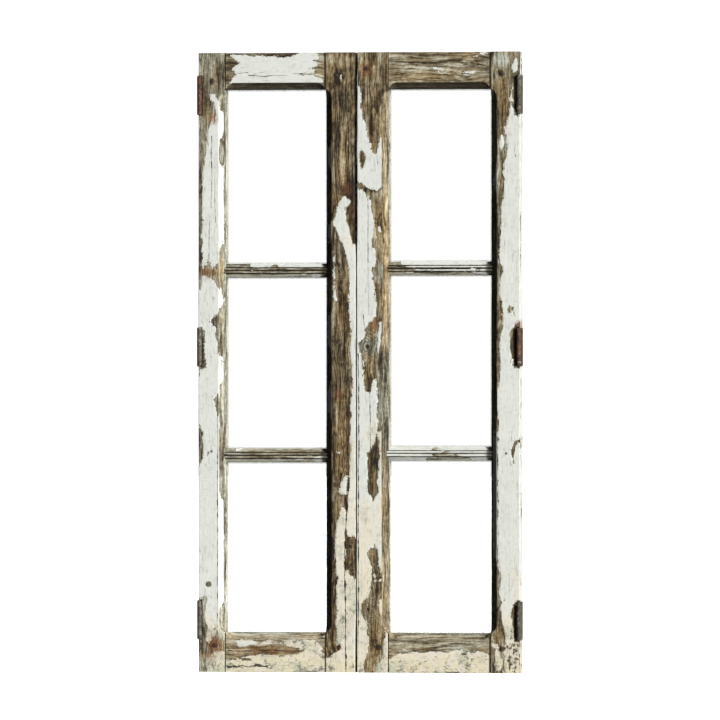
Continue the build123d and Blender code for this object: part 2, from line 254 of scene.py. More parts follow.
def member_section(member, along):
    """Across and depth of each point round the section at each station, and each point's region."""
    n = len(along)
    ones = np.ones(n)
    width = member.width * ones
    past = np.maximum(
        member.stops[0] + STOP_RUN - along,
        along - (member.stops[1] - STOP_RUN),
    )
    past = np.maximum(past, 0)
    cuts = []
    for radius, depth in moulding_profile():
        reach = np.sqrt(np.maximum(radius**2 - past**2, 0)) - CUTTER_OFFSET
        cuts.append((np.maximum(reach, 0), depth))
    in_rebate = (along > member.rebate[0]) & (along < member.rebate[1])
    rebate = np.where(in_rebate, REBATE, 0.0)
    bed = np.zeros(n)
    room = np.zeros(n, bool)
    if member.pocketed:
        for low, high in HINGES:
            bed = np.where((along > low) & (along < high), PLATE_BED, bed)
            room |= (along > low - BED_ENDS) & (along < high + BED_ENDS)
    barrel = (PLATE_BED, BARREL_FRONT + BARREL_RADIUS)
    lip = np.where(room, barrel[0] + math.sqrt(BARREL_ROOM**2 - (FACE - barrel[1]) ** 2), ARRIS)
    columns, depths, regions = [], [], []

    def add(a, d, region):
        columns.append(a)
        depths.append(d)
        regions.extend([region] * a.shape[1])

    front_count = int((member.width - MOULDING) / ACROSS_STEP)
    arris = width - cuts[0][0]
    add(spread(lip, arris, front_count), spread(FACE * ones, FACE * ones, front_count), FRONT)
    for reach, depth in cuts:
        part = COVE if depth < COVE_DEPTH else FILLET
        add((width - reach)[:, None], (FACE + depth) * ones[:, None], part)
    sight_y = (FACE + MOULDING_DEPTH) * ones
    rebate_y = GLASS_FRONT * ones
    back_y = BACK * ones
    add(spread(width, width, 5)[:, 1:], spread(sight_y, rebate_y, 5)[:, 1:], SIGHT)
    add(spread(width, width - rebate, 3), spread(rebate_y, rebate_y, 3), SIGHT)
    add(spread(width - rebate, width - rebate, 4), spread(rebate_y, back_y, 4), SIGHT)
    back_count = int(member.width / 2.4)
    add(spread(width - rebate, 0 * ones, back_count), spread(back_y, back_y, back_count), REAR)
    plate_y = (PLATE_END + 0.1) * ones
    add(spread(0 * ones, 0 * ones, 5), spread(back_y, plate_y, 5), EDGE)
    add(spread(0 * ones, bed, 2), spread(plate_y, plate_y, 2), EDGE)
    wall = barrel[1] + np.sqrt(BARREL_ROOM**2 - (barrel[0] - bed) ** 2)
    gouge_y = np.where(room, wall, FACE + ARRIS)
    add(spread(bed, bed, 11), spread(plate_y, gouge_y, 11), EDGE)
    for i in range(GOUGE_STEPS):
        turn = i / GOUGE_STEPS
        first = np.arctan2(gouge_y - barrel[1], bed - barrel[0])
        last = np.arctan2(FACE - barrel[1], lip - barrel[0])
        angle = first + (last - first) * turn
        worn_turn = math.radians(180 + 90 * turn)
        worn = (ARRIS + ARRIS * math.cos(worn_turn), FACE + ARRIS + ARRIS * math.sin(worn_turn))
        a = np.where(room, barrel[0] + BARREL_ROOM * np.cos(angle), worn[0])
        d = np.where(room, barrel[1] + BARREL_ROOM * np.sin(angle), worn[1])
        add(a[:, None], d[:, None], EDGE)
    return np.hstack(columns), np.hstack(depths), np.array(regions)


# The leaves are a little bowed: below the top quarter their room-side arrises stand closer.
BOWED = {"left_meeting_stile": 1.3, "right_meeting_stile": 1.2}
BOW_SPAN = (20.0, 170.0, 820.0, 890.0)
BOW_FOOT = 0.4
BOW_DEPTH = (9.0, 13.0)
BOW_ACROSS = 14.0


def bowed(member, across, depth, along):
    """Across, with the front part of a meeting stile's outer edge moved into the gap."""
    foot, low, high, top = BOW_SPAN
    amount = BOW_FOOT + (1 - BOW_FOOT) * ramp_up(along, foot, low)
    amount = amount * (1 - ramp_up(along, high, top)) * BOWED[member.node]
    near_edge = 1 - np.clip(across / BOW_ACROSS, 0, 1)
    near_face = 1 - ramp_up(depth - FACE, *BOW_DEPTH)
    return across - amount * near_edge * near_face


def round_off(grid):
    """Softens the section's corners, as wear and old paint do."""
    return grid / 2 + np.roll(grid, 1, axis=1) / 4 + np.roll(grid, -1, axis=1) / 4


def loft_faces(rows, columns):
    """Quads between neighbouring sections, and one face over each end."""
    index = np.arange(rows * columns).reshape(rows, columns)
    here = index[:-1]
    above = index[1:]
    quads = np.stack(
        [here, np.roll(here, -1, axis=1), np.roll(above, -1, axis=1), above], axis=-1
    ).reshape(-1, 4)
    faces = quads.tolist()
    faces.append(index[0][::-1].tolist())
    faces.append(index[-1].tolist())
    return faces


def make_object(name, places, faces, body, material, values=None, replaces=(), sharp=40):
    """A mesh piece from places in mm. values are numbers kept at each vertex, by name."""
    mesh = bpy.data.meshes.new(name)
    mesh.from_pydata((places * MM).tolist(), [], faces)
    for key, data in (values or {}).items():
        layer = mesh.attributes.new(key, "FLOAT", "POINT")
        layer.data.foreach_set("value", np.asarray(data, np.float32))
    shape = bmesh.new()
    shape.from_mesh(mesh)
    bmesh.ops.recalc_face_normals(shape, faces=shape.faces)
    shape.to_mesh(mesh)
    shape.free()
    mesh.polygons.foreach_set("use_smooth", [True] * len(mesh.polygons))
    mesh.set_sharp_from_angle(angle=math.radians(sharp))
    piece = bpy.data.objects.new(name, mesh)
    bpy.context.collection.objects.link(piece)
    mesh.materials.append(material)
    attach(piece, body)
    if replaces:
        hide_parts(*replaces)
    return piece


def grid_normals(grid):
    """Outward normals of a lofted grid of places, by crossing its two directions."""
    along = np.gradient(grid, axis=0)
    around = np.roll(grid, -1, axis=1) - np.roll(grid, 1, axis=1)
    normal = np.cross(along, around)
    length = np.linalg.norm(normal, axis=2, keepdims=True)
    normal = normal / np.maximum(length, 1e-9)
    centre = grid.mean(axis=1, keepdims=True)
    if ((grid - centre) * normal).sum() < 0:
        normal = -normal
    return normal


# ==== where the paint has gone ====
# Outlines are (across, along) in mm on a member's room face: across from its outer edge, along
# up a stile or to the right on a rail. "bare" takes paint off and "kept" leaves an island of it.
# "mould" lists the runs of the moulding that are bare. "splits" are (half width, points).
# "shade" and "warm" are (across, along, reach across, reach along, amount) and change the wood.
# "rust" is (across, along, reach, strength), and "knots" are (across, along, radius).
# "wood" is how light and how warm the whole member's bare wood is. "cream" is how yellow the paint
# is at the start of the member, how yellow it becomes, and the share of its length that this takes.

PATCHES = {
    "left_hinge_stile": {
        "bare": [
            [(-9, 1260), (70, 1260), (70, 1130), (54, 1136), (50, 1146), (46, 1134), (42, 1143),
             (38, 1150), (34, 1157), (30, 1158), (24, 1160), (22, 1150), (26, 1144), (31, 1142),
             (34, 1130), (35, 1120), (33, 1112), (32, 1104), (27, 1100), (22, 1090), (19.5, 1080),
             (18, 1060), (17, 1050), (14, 1040), (12, 1020), (10, 1000), (8.5, 960), (7.5, 940),
             (7.5, 920), (8.3, 900), (7, 880), (7.6, 860), (7, 840), (8, 820), (7, 809), (12, 810),
             (16, 813), (20, 826), (24, 813), (29, 806), (33, 812), (38, 816), (45, 818), (45, 770),
             (40, 770), (36, 776), (30, 784), (22, 790), (12, 794), (7, 792), (6, 780), (4, 770),
             (0, 764), (-9, 762)],
            [(22, 702), (30, 709), (40, 719), (45, 721), (45, 636), (40, 640), (37.5, 662), (35, 690),
             (29, 695)],
            [(-9, 693), (2, 691), (6, 686), (12, 685), (14, 678), (12, 670), (12, 650), (14, 640),
             (14, 626), (16, 617), (15, 611), (10, 608), (4, 604), (0, 586), (-9, 584)],
            [(-9, 502), (2, 498), (4, 490), (8, 484), (13, 477), (9, 471), (11, 455), (10, 440), (8, 428),
             (4, 418), (1, 412), (-9, 410)],
            [(31, 545), (35, 553), (45, 558), (45, 512), (38, 514), (35, 528)],
            [(17, 440), (20, 443), (22, 438), (20, 432)],
            [(24, 443), (27, 445), (27, 439)],
            [(-9, 148), (6, 149), (11, 154), (17, 151), (18, 143), (14, 132), (13, 118), (14, 100),
             (16.5, 92), (16, 64), (22, 60), (28, 66), (30, 80), (34, 72), (38, 82), (40, 74), (42, 63),
             (46, 60), (52, 66), (70, 70), (70, 40), (48, 42), (40, 40), (34, 44), (29, 37), (24, 29),
             (17, 28), (17, -9), (-9, -9)],
            [(31, 96), (34, 94), (35, 84), (32, 86)],
        ],
        "kept": [
            [(23, 1152), (27, 1154), (28, 1147), (24, 1143)],
        ],
        "mould": [(1138, 1185), (1022, 1060), (768, 846), (632, 724), (362, 576), (70, 127)],
        "splits": [
            (0.7, [(27, 1075), (26, 1030), (27.5, 990), (26, 930)]),
            (0.5, [(23, 905), (22, 870), (21, 826)]),
            (0.4, [(34, 1040), (33, 960), (35, 900)]),
            (0.6, [(39, 560), (38.5, 400), (39, 240), (38.5, 76)]),
        ],
        "shade": [
            (12, 1215, 22, 30, 0.18), (42, 1200, 14, 26, -0.1), (8, 1150, 12, 42, -0.3),
            (20, 800, 22, 10, -0.25), (8, 645, 10, 40, -0.3), (6, 455, 9, 40, -0.16),
            (8, 100, 14, 60, -0.05), (34, 54, 16, 14, -0.2), (8, 14, 12, 18, 0.12),
            (4, 900, 8, 120, -0.12), (36, 700, 14, 16, -0.2),
        ],
        "warm": [
            (34, 1195, 12, 26, 0.6), (26, 1108, 13, 14, 1.2), (20, 802, 24, 10, 1.3),
            (46, 800, 10, 40, 0.9), (38, 54, 22, 18, 1.3), (20, 34, 18, 8, 0.9), (46, 670, 10, 60, 0.6),
            (8, 1150, 9, 40, 0.9),
        ],
        "rust": [(30, 1108, 15, 0.75), (34, 54, 26, 0.9), (24, 34, 20, 0.5), (18, 802, 22, 0.55)],
        "knots": [(34, 54, 9)],
        "wood": (0.12, -0.45),
        "cream": (0.62, -0.1, 0.17),
    },
    "left_meeting_stile": {
        "bare": [
            [(80, 1260), (-9, 1260), (-9, 853), (0, 855), (5, 860), (8.5, 870), (10, 880), (13, 890),
             (17, 900), (18.5, 910), (19.5, 920), (19.5, 930), (13, 935), (9, 941), (14, 945), (20, 952),
             (25, 951), (30, 945), (34, 938), (37, 930), (37.5, 920), (39, 910), (43, 900), (41, 890),
             (37, 880), (32, 870), (27, 860), (23, 850), (20, 840), (17.5, 830), (14, 820), (12.5, 810),
             (12.5, 800), (12, 780), (13.5, 760), (12.5, 740), (12, 720), (10.5, 700), (9, 680),
             (8.5, 660), (10.5, 645), (8, 630), (7, 618), (8.5, 600), (6, 580), (5.5, 570), (7.5, 560),
             (8.5, 540), (9.5, 520), (10, 500), (9.5, 480), (10.5, 470), (8.5, 450), (8, 440), (10, 420),
             (10.5, 400), (11, 390), (13, 380), (14.5, 345), (17, 318), (20, 322), (24, 330), (28, 333),
             (31, 322), (33, 312), (37, 300), (37.5, 290), (39, 270), (40, 250), (40, 230), (38.5, 210),
             (38, 198), (33, 189), (36, 184), (37.5, 165), (38, 150), (37, 112), (38, 90), (36, 80),
             (38, 62), (36, 57), (31, 56), (28, 52), (29, 47), (36, 43), (41, 39), (47, 33), (50, 29),
             (80, 28)],
            [(-9, 262), (0, 266), (4, 275), (8, 271), (14, 272), (18, 277), (20, 262), (20, 230),
             (23, 212), (20, 205), (14, 203), (10, 196), (5, 190), (2, 186), (-1, 190), (-3, 200),
             (-9, 204)],
        ],
        "kept": [
            [(18, 393), (22, 392), (25, 384), (29, 376), (30, 362), (26, 358), (18, 356), (16.5, 375)],
            [(40, 765), (43, 764), (43, 744), (36, 743), (38, 752)],
            [(41, 834), (43, 834), (43, 764), (41.5, 764)],
            [(27, 1196), (30, 1194), (29, 1180), (27, 1184)],
            [(31, 441), (36, 441), (36, 438), (31, 438)],
        ],
        "mould": [(1062, 1190), (902, 998), (727, 858), (582, 640), (60, 498)],
        "splits": [
            (1.5, [(13, 392), (14, 360), (17, 320), (18, 290), (20, 262), (20.5, 220), (20, 160),
                   (19.5, 130), (19, 60), (18.5, 2)]),
            (0.8, [(33, 1180), (31, 1130), (33, 1090), (30, 1050)]),
            (1.0, [(15, 1120), (13, 1060), (15, 1010), (11, 960)]),
            (0.8, [(24, 760), (22, 690), (23, 640), (20, 580), (17, 500), (15, 420)]),
        ],
        "shade": [
            (30, 1225, 40, 18, 0.28), (24, 1010, 10, 40, 0.3), (8, 960, 12, 50, -0.45),
            (22, 962, 12, 12, -0.12), (34, 1190, 8, 22, -0.35), (14, 905, 9, 30, -0.2),
            (30, 860, 12, 30, -0.12), (44, 200, 10, 130, -0.28), (30, 1120, 16, 60, -0.14),
            (30, 690, 14, 70, 0.02), (38, 840, 8, 70, 0.12), (28, 520, 16, 70, 0.16),
            (30, 630, 16, 50, -0.1), (44, 55, 14, 30, -0.05), (4, 1080, 8, 60, 0.04),
            (30, 340, 10, 20, 0.12),
        ],
        "warm": [
            (24, 1010, 12, 40, 1.3), (6, 900, 14, 55, 1.0), (24, 960, 16, 14, 0.9),
            (30, 556, 14, 22, 1.0), (30, 480, 18, 60, 0.7), (28, 410, 16, 40, 0.9),
            (20, 720, 14, 60, 0.6), (8, 236, 16, 44, 0.8), (42, 60, 16, 36, 0.6),
        ],
        "rust": [(33, 556, 12, 0.8), (16, 966, 15, 0.6), (6, 930, 9, 0.4)],
        "knots": [(10, 252, 12), (37, 1193, 7), (32, 802, 8), (24, 962, 9), (8, 216, 8)],
        "wood": (-0.16, 0.25),
        "cream": (0.55, 0.1, 0.62),
    },
    "left_top_rail": {
        "bare": [
            [(-9, -290), (90, -290), (90, -262), (62, -263), (56, -259), (50, -254), (45, -249),
             (38, -251), (34, -256), (28, -251), (22, -242), (14, -250), (8, -258), (4, -264), (4, -240),
             (6, -215), (7, -190), (9, -160), (9, -145), (6, -132), (2, -122), (-9, -122)],
            [(-9, -50), (-9, -90), (4, -84), (10, -80), (15, -84), (16, -98), (18, -86), (28, -82),
             (30.5, -90), (31, -103), (33, -88), (38, -87), (42, -95), (43.5, -112), (46, -92), (51, -82),
             (54, -73), (59, -71), (61, -76), (63, -92), (90, -92), (90, -50)],
        ],
        "kept": [],
        "mould": [(-280, -50)],
        "splits": [
            (0.9, [(44, -252), (41, -238), (40, -224)]),
            (0.7, [(45, -226), (46, -205), (48, -192), (46, -178), (45, -145)]),
            (0.8, [(42, -134), (43, -110), (44, -90)]),
        ],
        "shade": [(20, -256, 20, 14, -0.12), (4, -150, 6, 40, -0.25), (35, -74, 22, 8, 0.0)],
        "warm": [(35, -74, 26, 10, 0.5), (24, -254, 14, 12, 0.4)],
        "rust": [],
        "knots": [],
        "wood": (0.05, 0.0),
        "cream": (0.0, 0.0, 1.0),
    },
    "left_bottom_rail": {
        "bare": [
            [(90, -290), (50, -290), (50, -250), (52, -236), (54, -222), (53, -228), (56, -200),
             (62, -192), (58, -165), (60, -158), (64, -152), (66, -130), (65, -105), (66, -88), (60, -83),
             (50, -75), (38, -72), (30, -75), (27, -66), (27, -50), (90, -50)],
            [(56, -290), (52, -232), (54, -220), (56, -190), (58, -165), (56, -150), (52, -140),
             (47, -122), (43, -110), (38, -118), (36, -140), (33, -150), (32, -165), (34, -175),
             (36, -190), (34, -210), (32, -230), (26, -245), (24, -262), (28, -290)],
            [(28, -240), (28, -220), (24, -217), (23, -236)],
            [(-9, -140), (2, -132), (3, -120), (1, -110), (3, -96), (2, -86), (-9, -84)],
        ],
        "kept": [
            [(63, -245), (64, -225), (60, -205), (56, -206), (55, -222), (52, -234), (50, -240),
             (55, -247)],
            [(64, -187), (66, -180), (63, -175), (60, -182)],
        ],
        "mould": [(-280, -50)],
        "splits": [
            (1.1, [(43, -268), (42, -240), (43, -200), (44, -170), (43, -112)]),
            (2.0, [(10, -268), (12, -255), (10.5, -245), (13, -235), (10, -225), (14, -205), (12, -195),
                   (11, -184)]),
            (0.7, [(68, -262), (69, -200), (67, -150), (68, -70)]),
        ],
        "shade": [
            (74, -170, 9, 120, 0.24), (58, -190, 8, 50, 0.05), (44, -190, 12, 80, -0.16),
            (24, -240, 6, 26, -0.2), (50, -262, 20, 12, -0.05), (50, -70, 26, 10, 0.0),
        ],
        "warm": [(44, -180, 12, 80, 1.8), (26, -250, 8, 20, 0.5), (76, -100, 8, 40, 0.6)],
        "rust": [
            (44, -240, 17, 0.5), (44, -208, 17, 0.55), (43, -176, 15, 0.55), (43, -145, 12, 0.5),
            (43, -122, 8, 0.4),
        ],
        "knots": [(34, -228, 6)],
        "wood": (0.1, 0.1),
        "cream": (0.4, 0.85, 1.0),
    },
    "right_meeting_stile": {
        "bare": [
            [(-9, 1260), (80, 1260), (80, 1064), (50, 1066), (47, 1070), (45, 1060), (40, 1045),
             (37, 1035), (32, 1040), (28, 1050), (24, 1060), (20, 1070), (19, 1082), (17, 1093),
             (13, 1099), (11, 1115), (8, 1125), (6, 1140), (8, 1150), (5, 1170), (-9, 1178)],
            [(6, 1043), (9, 1044), (13, 1040), (17, 1034), (18, 1026), (15, 1018), (12, 1007), (9, 1006),
             (7, 1014), (4, 1028)],
            [(-9, 981), (8, 980), (12, 974), (20, 970), (30, 966), (40, 965), (48, 970), (53, 974),
             (80, 980), (80, 560), (52, 500), (50, 482), (39, 480), (40, 500), (39.5, 520), (40, 560),
             (39, 572), (37, 582), (35, 586), (32, 584), (30, 578), (28, 565), (25, 561), (15, 561),
             (13, 580), (12, 590), (13, 600), (12, 622), (9, 634), (5, 642), (4, 650), (3, 658), (8, 664),
             (14, 670), (16, 676), (15, 686), (18, 690), (24, 701), (30, 702), (36, 710), (38, 722),
             (38, 740), (37, 750), (36, 760), (34.5, 770), (34, 780), (32, 790), (29, 802), (33, 810),
             (36, 820), (38, 830), (37, 840), (34, 848), (30, 850), (29.5, 860), (32, 870), (34, 880),
             (34, 892), (36, 900), (32, 910), (30, 920), (27.5, 930), (27, 942), (20, 948), (24, 950),
             (18, 955), (12, 962), (2, 968), (-9, 970)],
            [(38, 484), (41, 482), (43, 468), (46, 454), (48, 447), (44, 440), (46, 434), (44, 425),
             (44, 410), (42, 395), (39, 385), (40, 375), (43, 362), (42, 356), (36, 350), (31, 343),
             (28, 350), (24, 358), (22, 368), (21, 380), (21, 400), (20, 420), (21, 440), (26, 443),
             (30, 448), (33, 458), (36, 470)],
            [(35, 257), (37, 250), (40, 244), (42, 235), (41, 222), (42, 214), (46, 210), (47, 202),
             (52, 200), (60, 210), (60, 120), (52, 40), (50, 30), (43, 22), (39, 10), (35, -9), (12, -9),
             (13, 14), (16, 28), (20, 40), (24, 54), (26, 62), (24, 78), (20, 90), (20, 100), (17, 108),
             (13, 114), (9, 120), (8, 132), (10, 140), (14, 144), (22, 152), (25, 160), (26, 172),
             (27, 182), (30, 192), (28, 200), (29, 208), (29, 214), (25, 222), (21, 232), (20, 240),
             (26, 247), (31, 249)],
        ],
        "kept": [
            [(44, 701), (50, 701), (49, 680), (46, 665), (45, 650), (43, 637), (41, 645), (42, 670),
             (44, 690)],
            [(31, 197), (35, 199), (39, 193), (36, 189), (32, 191)],
            [(33, 185), (42, 184), (50, 190), (54, 192), (52, 186), (44, 181)],
            [(43, 148), (52, 146), (54, 130), (53, 117), (48, 114), (44, 125)],
            [(44, 890), (46, 892), (46, 880), (43, 884)],
        ],
        "mould": [(60, 1190)],
        "splits": [
            (0.6, [(12, 718), (13, 700), (16, 688)]),
            (0.5, [(21, 950), (22, 860), (22, 780), (24, 715)]),
            (0.8, [(3, 640), (4, 500), (3, 380), (3, 200), (2.5, 60)]),
            (0.6, [(26, 620), (25, 540), (27, 440)]),
        ],
        "shade": [
            (34, 1110, 14, 70, -0.22), (14, 1140, 9, 44, -0.1), (24, 1215, 30, 22, 0.02),
            (10, 1028, 9, 22, -0.12), (40, 890, 12, 60, 0.1), (44, 800, 14, 30, 0.16),
            (22, 652, 24, 22, 0.08), (22, 590, 12, 36, -0.16), (44, 530, 8, 60, 0.14),
            (34, 420, 14, 60, -0.16), (30, 966, 30, 8, -0.3), (32, 225, 12, 34, -0.04),
            (36, 150, 18, 40, 0.04), (20, 126, 12, 14, 0.1), (34, 60, 18, 50, -0.06),
            (58, 700, 5, 300, 0.14), (56, 1040, 5, 80, 0.1), (57, 540, 8, 120, -0.16),
        ],
        "warm": [
            (18, 1206, 20, 22, 1.0), (34, 1100, 16, 80, 0.5), (42, 740, 10, 60, 0.7),
            (34, 695, 14, 14, 1.3), (22, 590, 14, 40, 0.9), (32, 375, 14, 34, 0.5),
            (57, 820, 6, 200, 1.6), (57, 540, 8, 120, -1.8), (34, 60, 20, 60, 0.8),
            (44, 900, 14, 60, 0.4), (22, 128, 14, 16, 0.5), (44, 800, 14, 30, -0.9),
            (44, 530, 8, 70, -1.2), (22, 652, 24, 20, -1.2),
        ],
        "rust": [(19, 1207, 17, 0.9), (8, 1205, 7, 0.7), (34, 696, 13, 0.9), (36, 1191, 6, 0.5)],
        "knots": [(22, 127, 12), (20, 652, 15), (44, 49, 6), (20, 1207, 8)],
        "wood": (-0.04, 0.18),
        "cream": (0.6, 0.0, 0.62),
    },
    "right_hinge_stile": {
        "bare": [
            [(-9, 1260), (80, 1260), (80, -9), (35, -9), (33, 12), (31, 24), (32, 44), (29, 60),
             (31.5, 75), (34, 90), (37, 110), (40, 130), (38.5, 140), (40, 150), (42.5, 160), (40, 180),
             (38.5, 190), (40, 205), (43, 220), (45, 240), (46, 260), (44, 280), (45, 300), (45, 440),
             (45, 470), (44, 490), (45, 500), (44.5, 520), (46, 530), (47, 550), (46, 565), (42, 575),
             (41, 585), (40, 600), (39, 620), (40.5, 640), (41, 660), (40, 670), (37, 680), (35, 690),
             (34, 710), (35, 720), (37.5, 740), (40, 750), (41, 765), (40, 780), (37, 794), (34, 800),
             (33, 806), (36, 812), (41, 818), (44, 830), (42, 840), (40.5, 850), (41, 860), (40, 880),
             (38, 900), (39, 910), (38.5, 930), (34, 945), (32, 960), (32, 1000), (31, 1018), (29, 1030),
             (27, 1040), (26, 1050), (27, 1060), (29, 1070), (28, 1080), (30, 1090), (27, 1095),
             (24, 1105), (22, 1112), (20, 1130), (19, 1150), (17.5, 1180), (16, 1185), (17, 1160),
             (16, 1140), (16, 1128), (10, 1122), (8, 1115), (6, 1105), (0, 1112), (-9, 1112)],
            [(12, 732), (18, 731), (22, 734), (27, 726), (24, 721), (14, 724)],
            [(11.5, 722), (14, 722), (14, 708), (11, 710)],
            [(-9, 722), (0, 706), (8, 698), (13, 690), (18, 687), (21, 678), (20, 668), (22, 656),
             (20, 642), (16, 630), (17, 618), (8, 612), (0, 606), (-9, 600)],
            [(-4, 472), (3, 466), (9, 465), (12, 462), (16, 450), (18, 440), (15, 430), (14.5, 420),
             (13, 438), (9, 454), (4, 461), (-2, 460)],
            [(28, 441), (30, 439), (28, 436), (26, 438)],
            [(-9, 145), (4, 143), (8, 138), (14, 137), (17, 128), (18, 114), (15, 100), (13, 92),
             (14, 84), (12, 74), (10, 63), (-9, 60)],
            [(17, 88), (20, 88), (20, 68), (17, 70)],
            [(-9, 58), (4, 57), (11, 61), (17, 59), (21, 50), (18, 50), (15, 55), (10, 57), (4, 53),
             (-9, 54)],
            [(4, 44), (8, 48), (13, 47), (16, 40), (15, 35), (12, 38), (11, 43), (7, 44)],
            [(14, 32), (19, 36), (24, 33), (25, 24), (22, 20), (22, 28), (18, 31)],
            [(2, 28), (7, 32), (12, 29), (13, 21), (11, 19), (9, 26), (5, 27)],
            [(15, 18), (20, 22), (24, 16), (22, 7), (20, 8), (21, 15), (18, 17)],
            [(-9, 40), (1, 40), (3, 34), (1, 18), (-9, 16)],
            [(5, 12), (10, 16), (14, 10), (12, 0), (9, 0), (10, 8), (8, 11)],
            [(24, 52), (27, 57), (30, 48), (28, 38), (26, 40), (28, 48)],
        ],
        "kept": [
            [(36, 1073), (40, 1071), (40, 1055), (38, 1043), (35, 1048), (34, 1060)],
            [(8, 1229), (12, 1222), (17, 1210), (14, 1200), (9, 1198), (5, 1206), (5, 1220)],
            [(36, 20), (38, 7), (46, 5), (50, 15), (51, 38), (48, 52), (43, 42), (39, 34)],
            [(57, 60), (48, 58), (40, 50), (50, 50), (57, 54)],
        ],
        "mould": [(1012, 1190), (484, 958), (50, 222)],
        "splits": [
            (0.8, [(33, 44), (32, 30), (33, 4)]),
            (0.6, [(20, 62), (22, 40), (19, 22), (22, 4)]),
            (0.6, [(9, 1056), (11, 1044), (9, 1030)]),
            (0.5, [(15, 838), (16, 824)]),
        ],
        "shade": [
            (38, 1224, 24, 18, 0.34), (8, 1160, 12, 50, -0.14), (34, 1150, 12, 60, -0.02),
            (44, 1000, 10, 80, 0.1), (44, 780, 6, 140, 0.06), (12, 650, 14, 46, -0.4),
            (10, 100, 12, 44, -0.1), (42, 80, 10, 30, 0.04), (8, 450, 10, 24, -0.22),
            (46, 180, 6, 60, -0.1),
        ],
        "warm": [
            (34, 1150, 14, 60, 0.7), (38, 1224, 24, 18, -0.9), (8, 1160, 12, 50, -0.9),
            (5, 655, 9, 40, 1.0), (10, 100, 12, 46, 0.8), (12, 30, 20, 36, 0.9), (44, 80, 14, 30, 0.6),
            (44, 900, 10, 200, -0.5),
        ],
        "rust": [(2, 695, 12, 0.8), (4, 640, 14, 0.5)],
        "knots": [(38, 1196, 6)],
        "wood": (-0.02, -0.1),
        "cream": (0.8, -0.15, 0.24),
    },
    "right_top_rail": {
        "bare": [
            [(-9, 40), (-9, 290), (95, 290), (95, 40)],
        ],
        "kept": [
            [(31, 146), (32, 160), (35, 173), (38.5, 180), (36.5, 168), (34, 152)],
            [(38.5, 183), (40, 205), (39.5, 234), (41.5, 233), (42.5, 215), (41.5, 198)],
            [(43, 186), (44, 204), (47, 214), (48.5, 222), (46, 224), (44.5, 210), (43, 200)],
            [(8, 228), (7, 241), (9.5, 241), (10, 230)],
            [(2.5, 244), (2, 257), (4, 258), (6, 250), (6, 243)],
            [(39, 155), (39, 163), (41, 162), (41, 156)],
        ],
        "mould": [(40, 290)],
        "splits": [
            (0.8, [(19, 62), (20, 110), (24, 150), (20, 200), (25, 240), (30, 262)]),
            (0.7, [(9, 92), (12, 120), (10, 140)]),
            (0.7, [(45, 150), (46, 190), (50, 225)]),
        ],
        "shade": [
            (12, 120, 16, 60, -0.12), (46, 120, 16, 60, -0.04), (40, 80, 20, 20, -0.14),
            (30, 180, 18, 60, 0.06), (4, 160, 6, 40, -0.2), (20, 240, 16, 26, 0.04),
        ],
        "warm": [(46, 140, 16, 90, 0.6), (8, 225, 10, 24, 0.7)],
        "rust": [],
        "knots": [],
        "wood": (0.05, 0.05),
        "cream": (0.1, 0.1, 1.0),
    },
    "right_bottom_rail": {
        "bare": [
            [(95, 40), (95, 290), (34, 290), (35, 264), (40, 255), (44, 245), (46, 234), (43, 226),
             (42, 218), (45, 210), (46, 200), (45, 186), (42, 178), (42, 170), (43, 160), (42, 140),
             (42, 120), (41, 100), (39, 82), (34, 72), (28, 64), (26, 40)],
            [(36, 208), (40, 208), (40, 216), (36, 217)],
            [(41, 224), (48, 226), (47, 238), (42, 236)],
            [(24, 224), (29, 226), (27, 231), (25, 230)],
            [(-9, 176), (2, 178), (4, 190), (2, 206), (-9, 208)],
        ],
        "kept": [
            [(73, 158), (76, 158), (76, 163), (73, 163)],
        ],
        "mould": [(40, 290)],
        "splits": [
            (0.7, [(68, 70), (69, 130), (67, 190), (70, 250)]),
            (0.6, [(14, 206), (12, 212), (9, 220)]),
            (0.5, [(14, 130), (10, 136), (8, 140)]),
        ],
        "shade": [
            (60, 150, 12, 80, 0.14), (74, 150, 8, 100, 0.04), (46, 120, 6, 60, -0.06),
            (78, 160, 5, 110, 0.02), (70, 76, 10, 14, -0.12), (50, 252, 16, 16, -0.06),
        ],
        "warm": [(74, 120, 9, 80, 0.4), (34, 70, 12, 10, 0.7), (50, 250, 18, 20, 0.3)],
        "rust": [],
        "knots": [(72, 74, 7)],
        "wood": (0.12, -0.05),
        "cream": (0.45, 0.55, 1.0),
    },
}

# How far a rail has drawn out of each stile's shoulder, at its left and right ends.
OPEN_JOINTS = {
    "left_top_rail": (1.1, 1.8),
    "left_bottom_rail": (0.9, 0.9),
    "right_top_rail": (0.5, 2.2),
    "right_bottom_rail": (0.9, 2.4),
}

# Each bar's wood, as (lightness, warmth, how cream its paint is).
BAR_WOOD = {
    "left_upper_glazing_bar": (0.16, -0.5, 0.0),
    "left_lower_glazing_bar": (0.26, -0.3, 0.25),
    "right_upper_glazing_bar": (0.16, -0.3, 0.1),
    "right_lower_glazing_bar": (0.14, -0.5, 0.2),
}

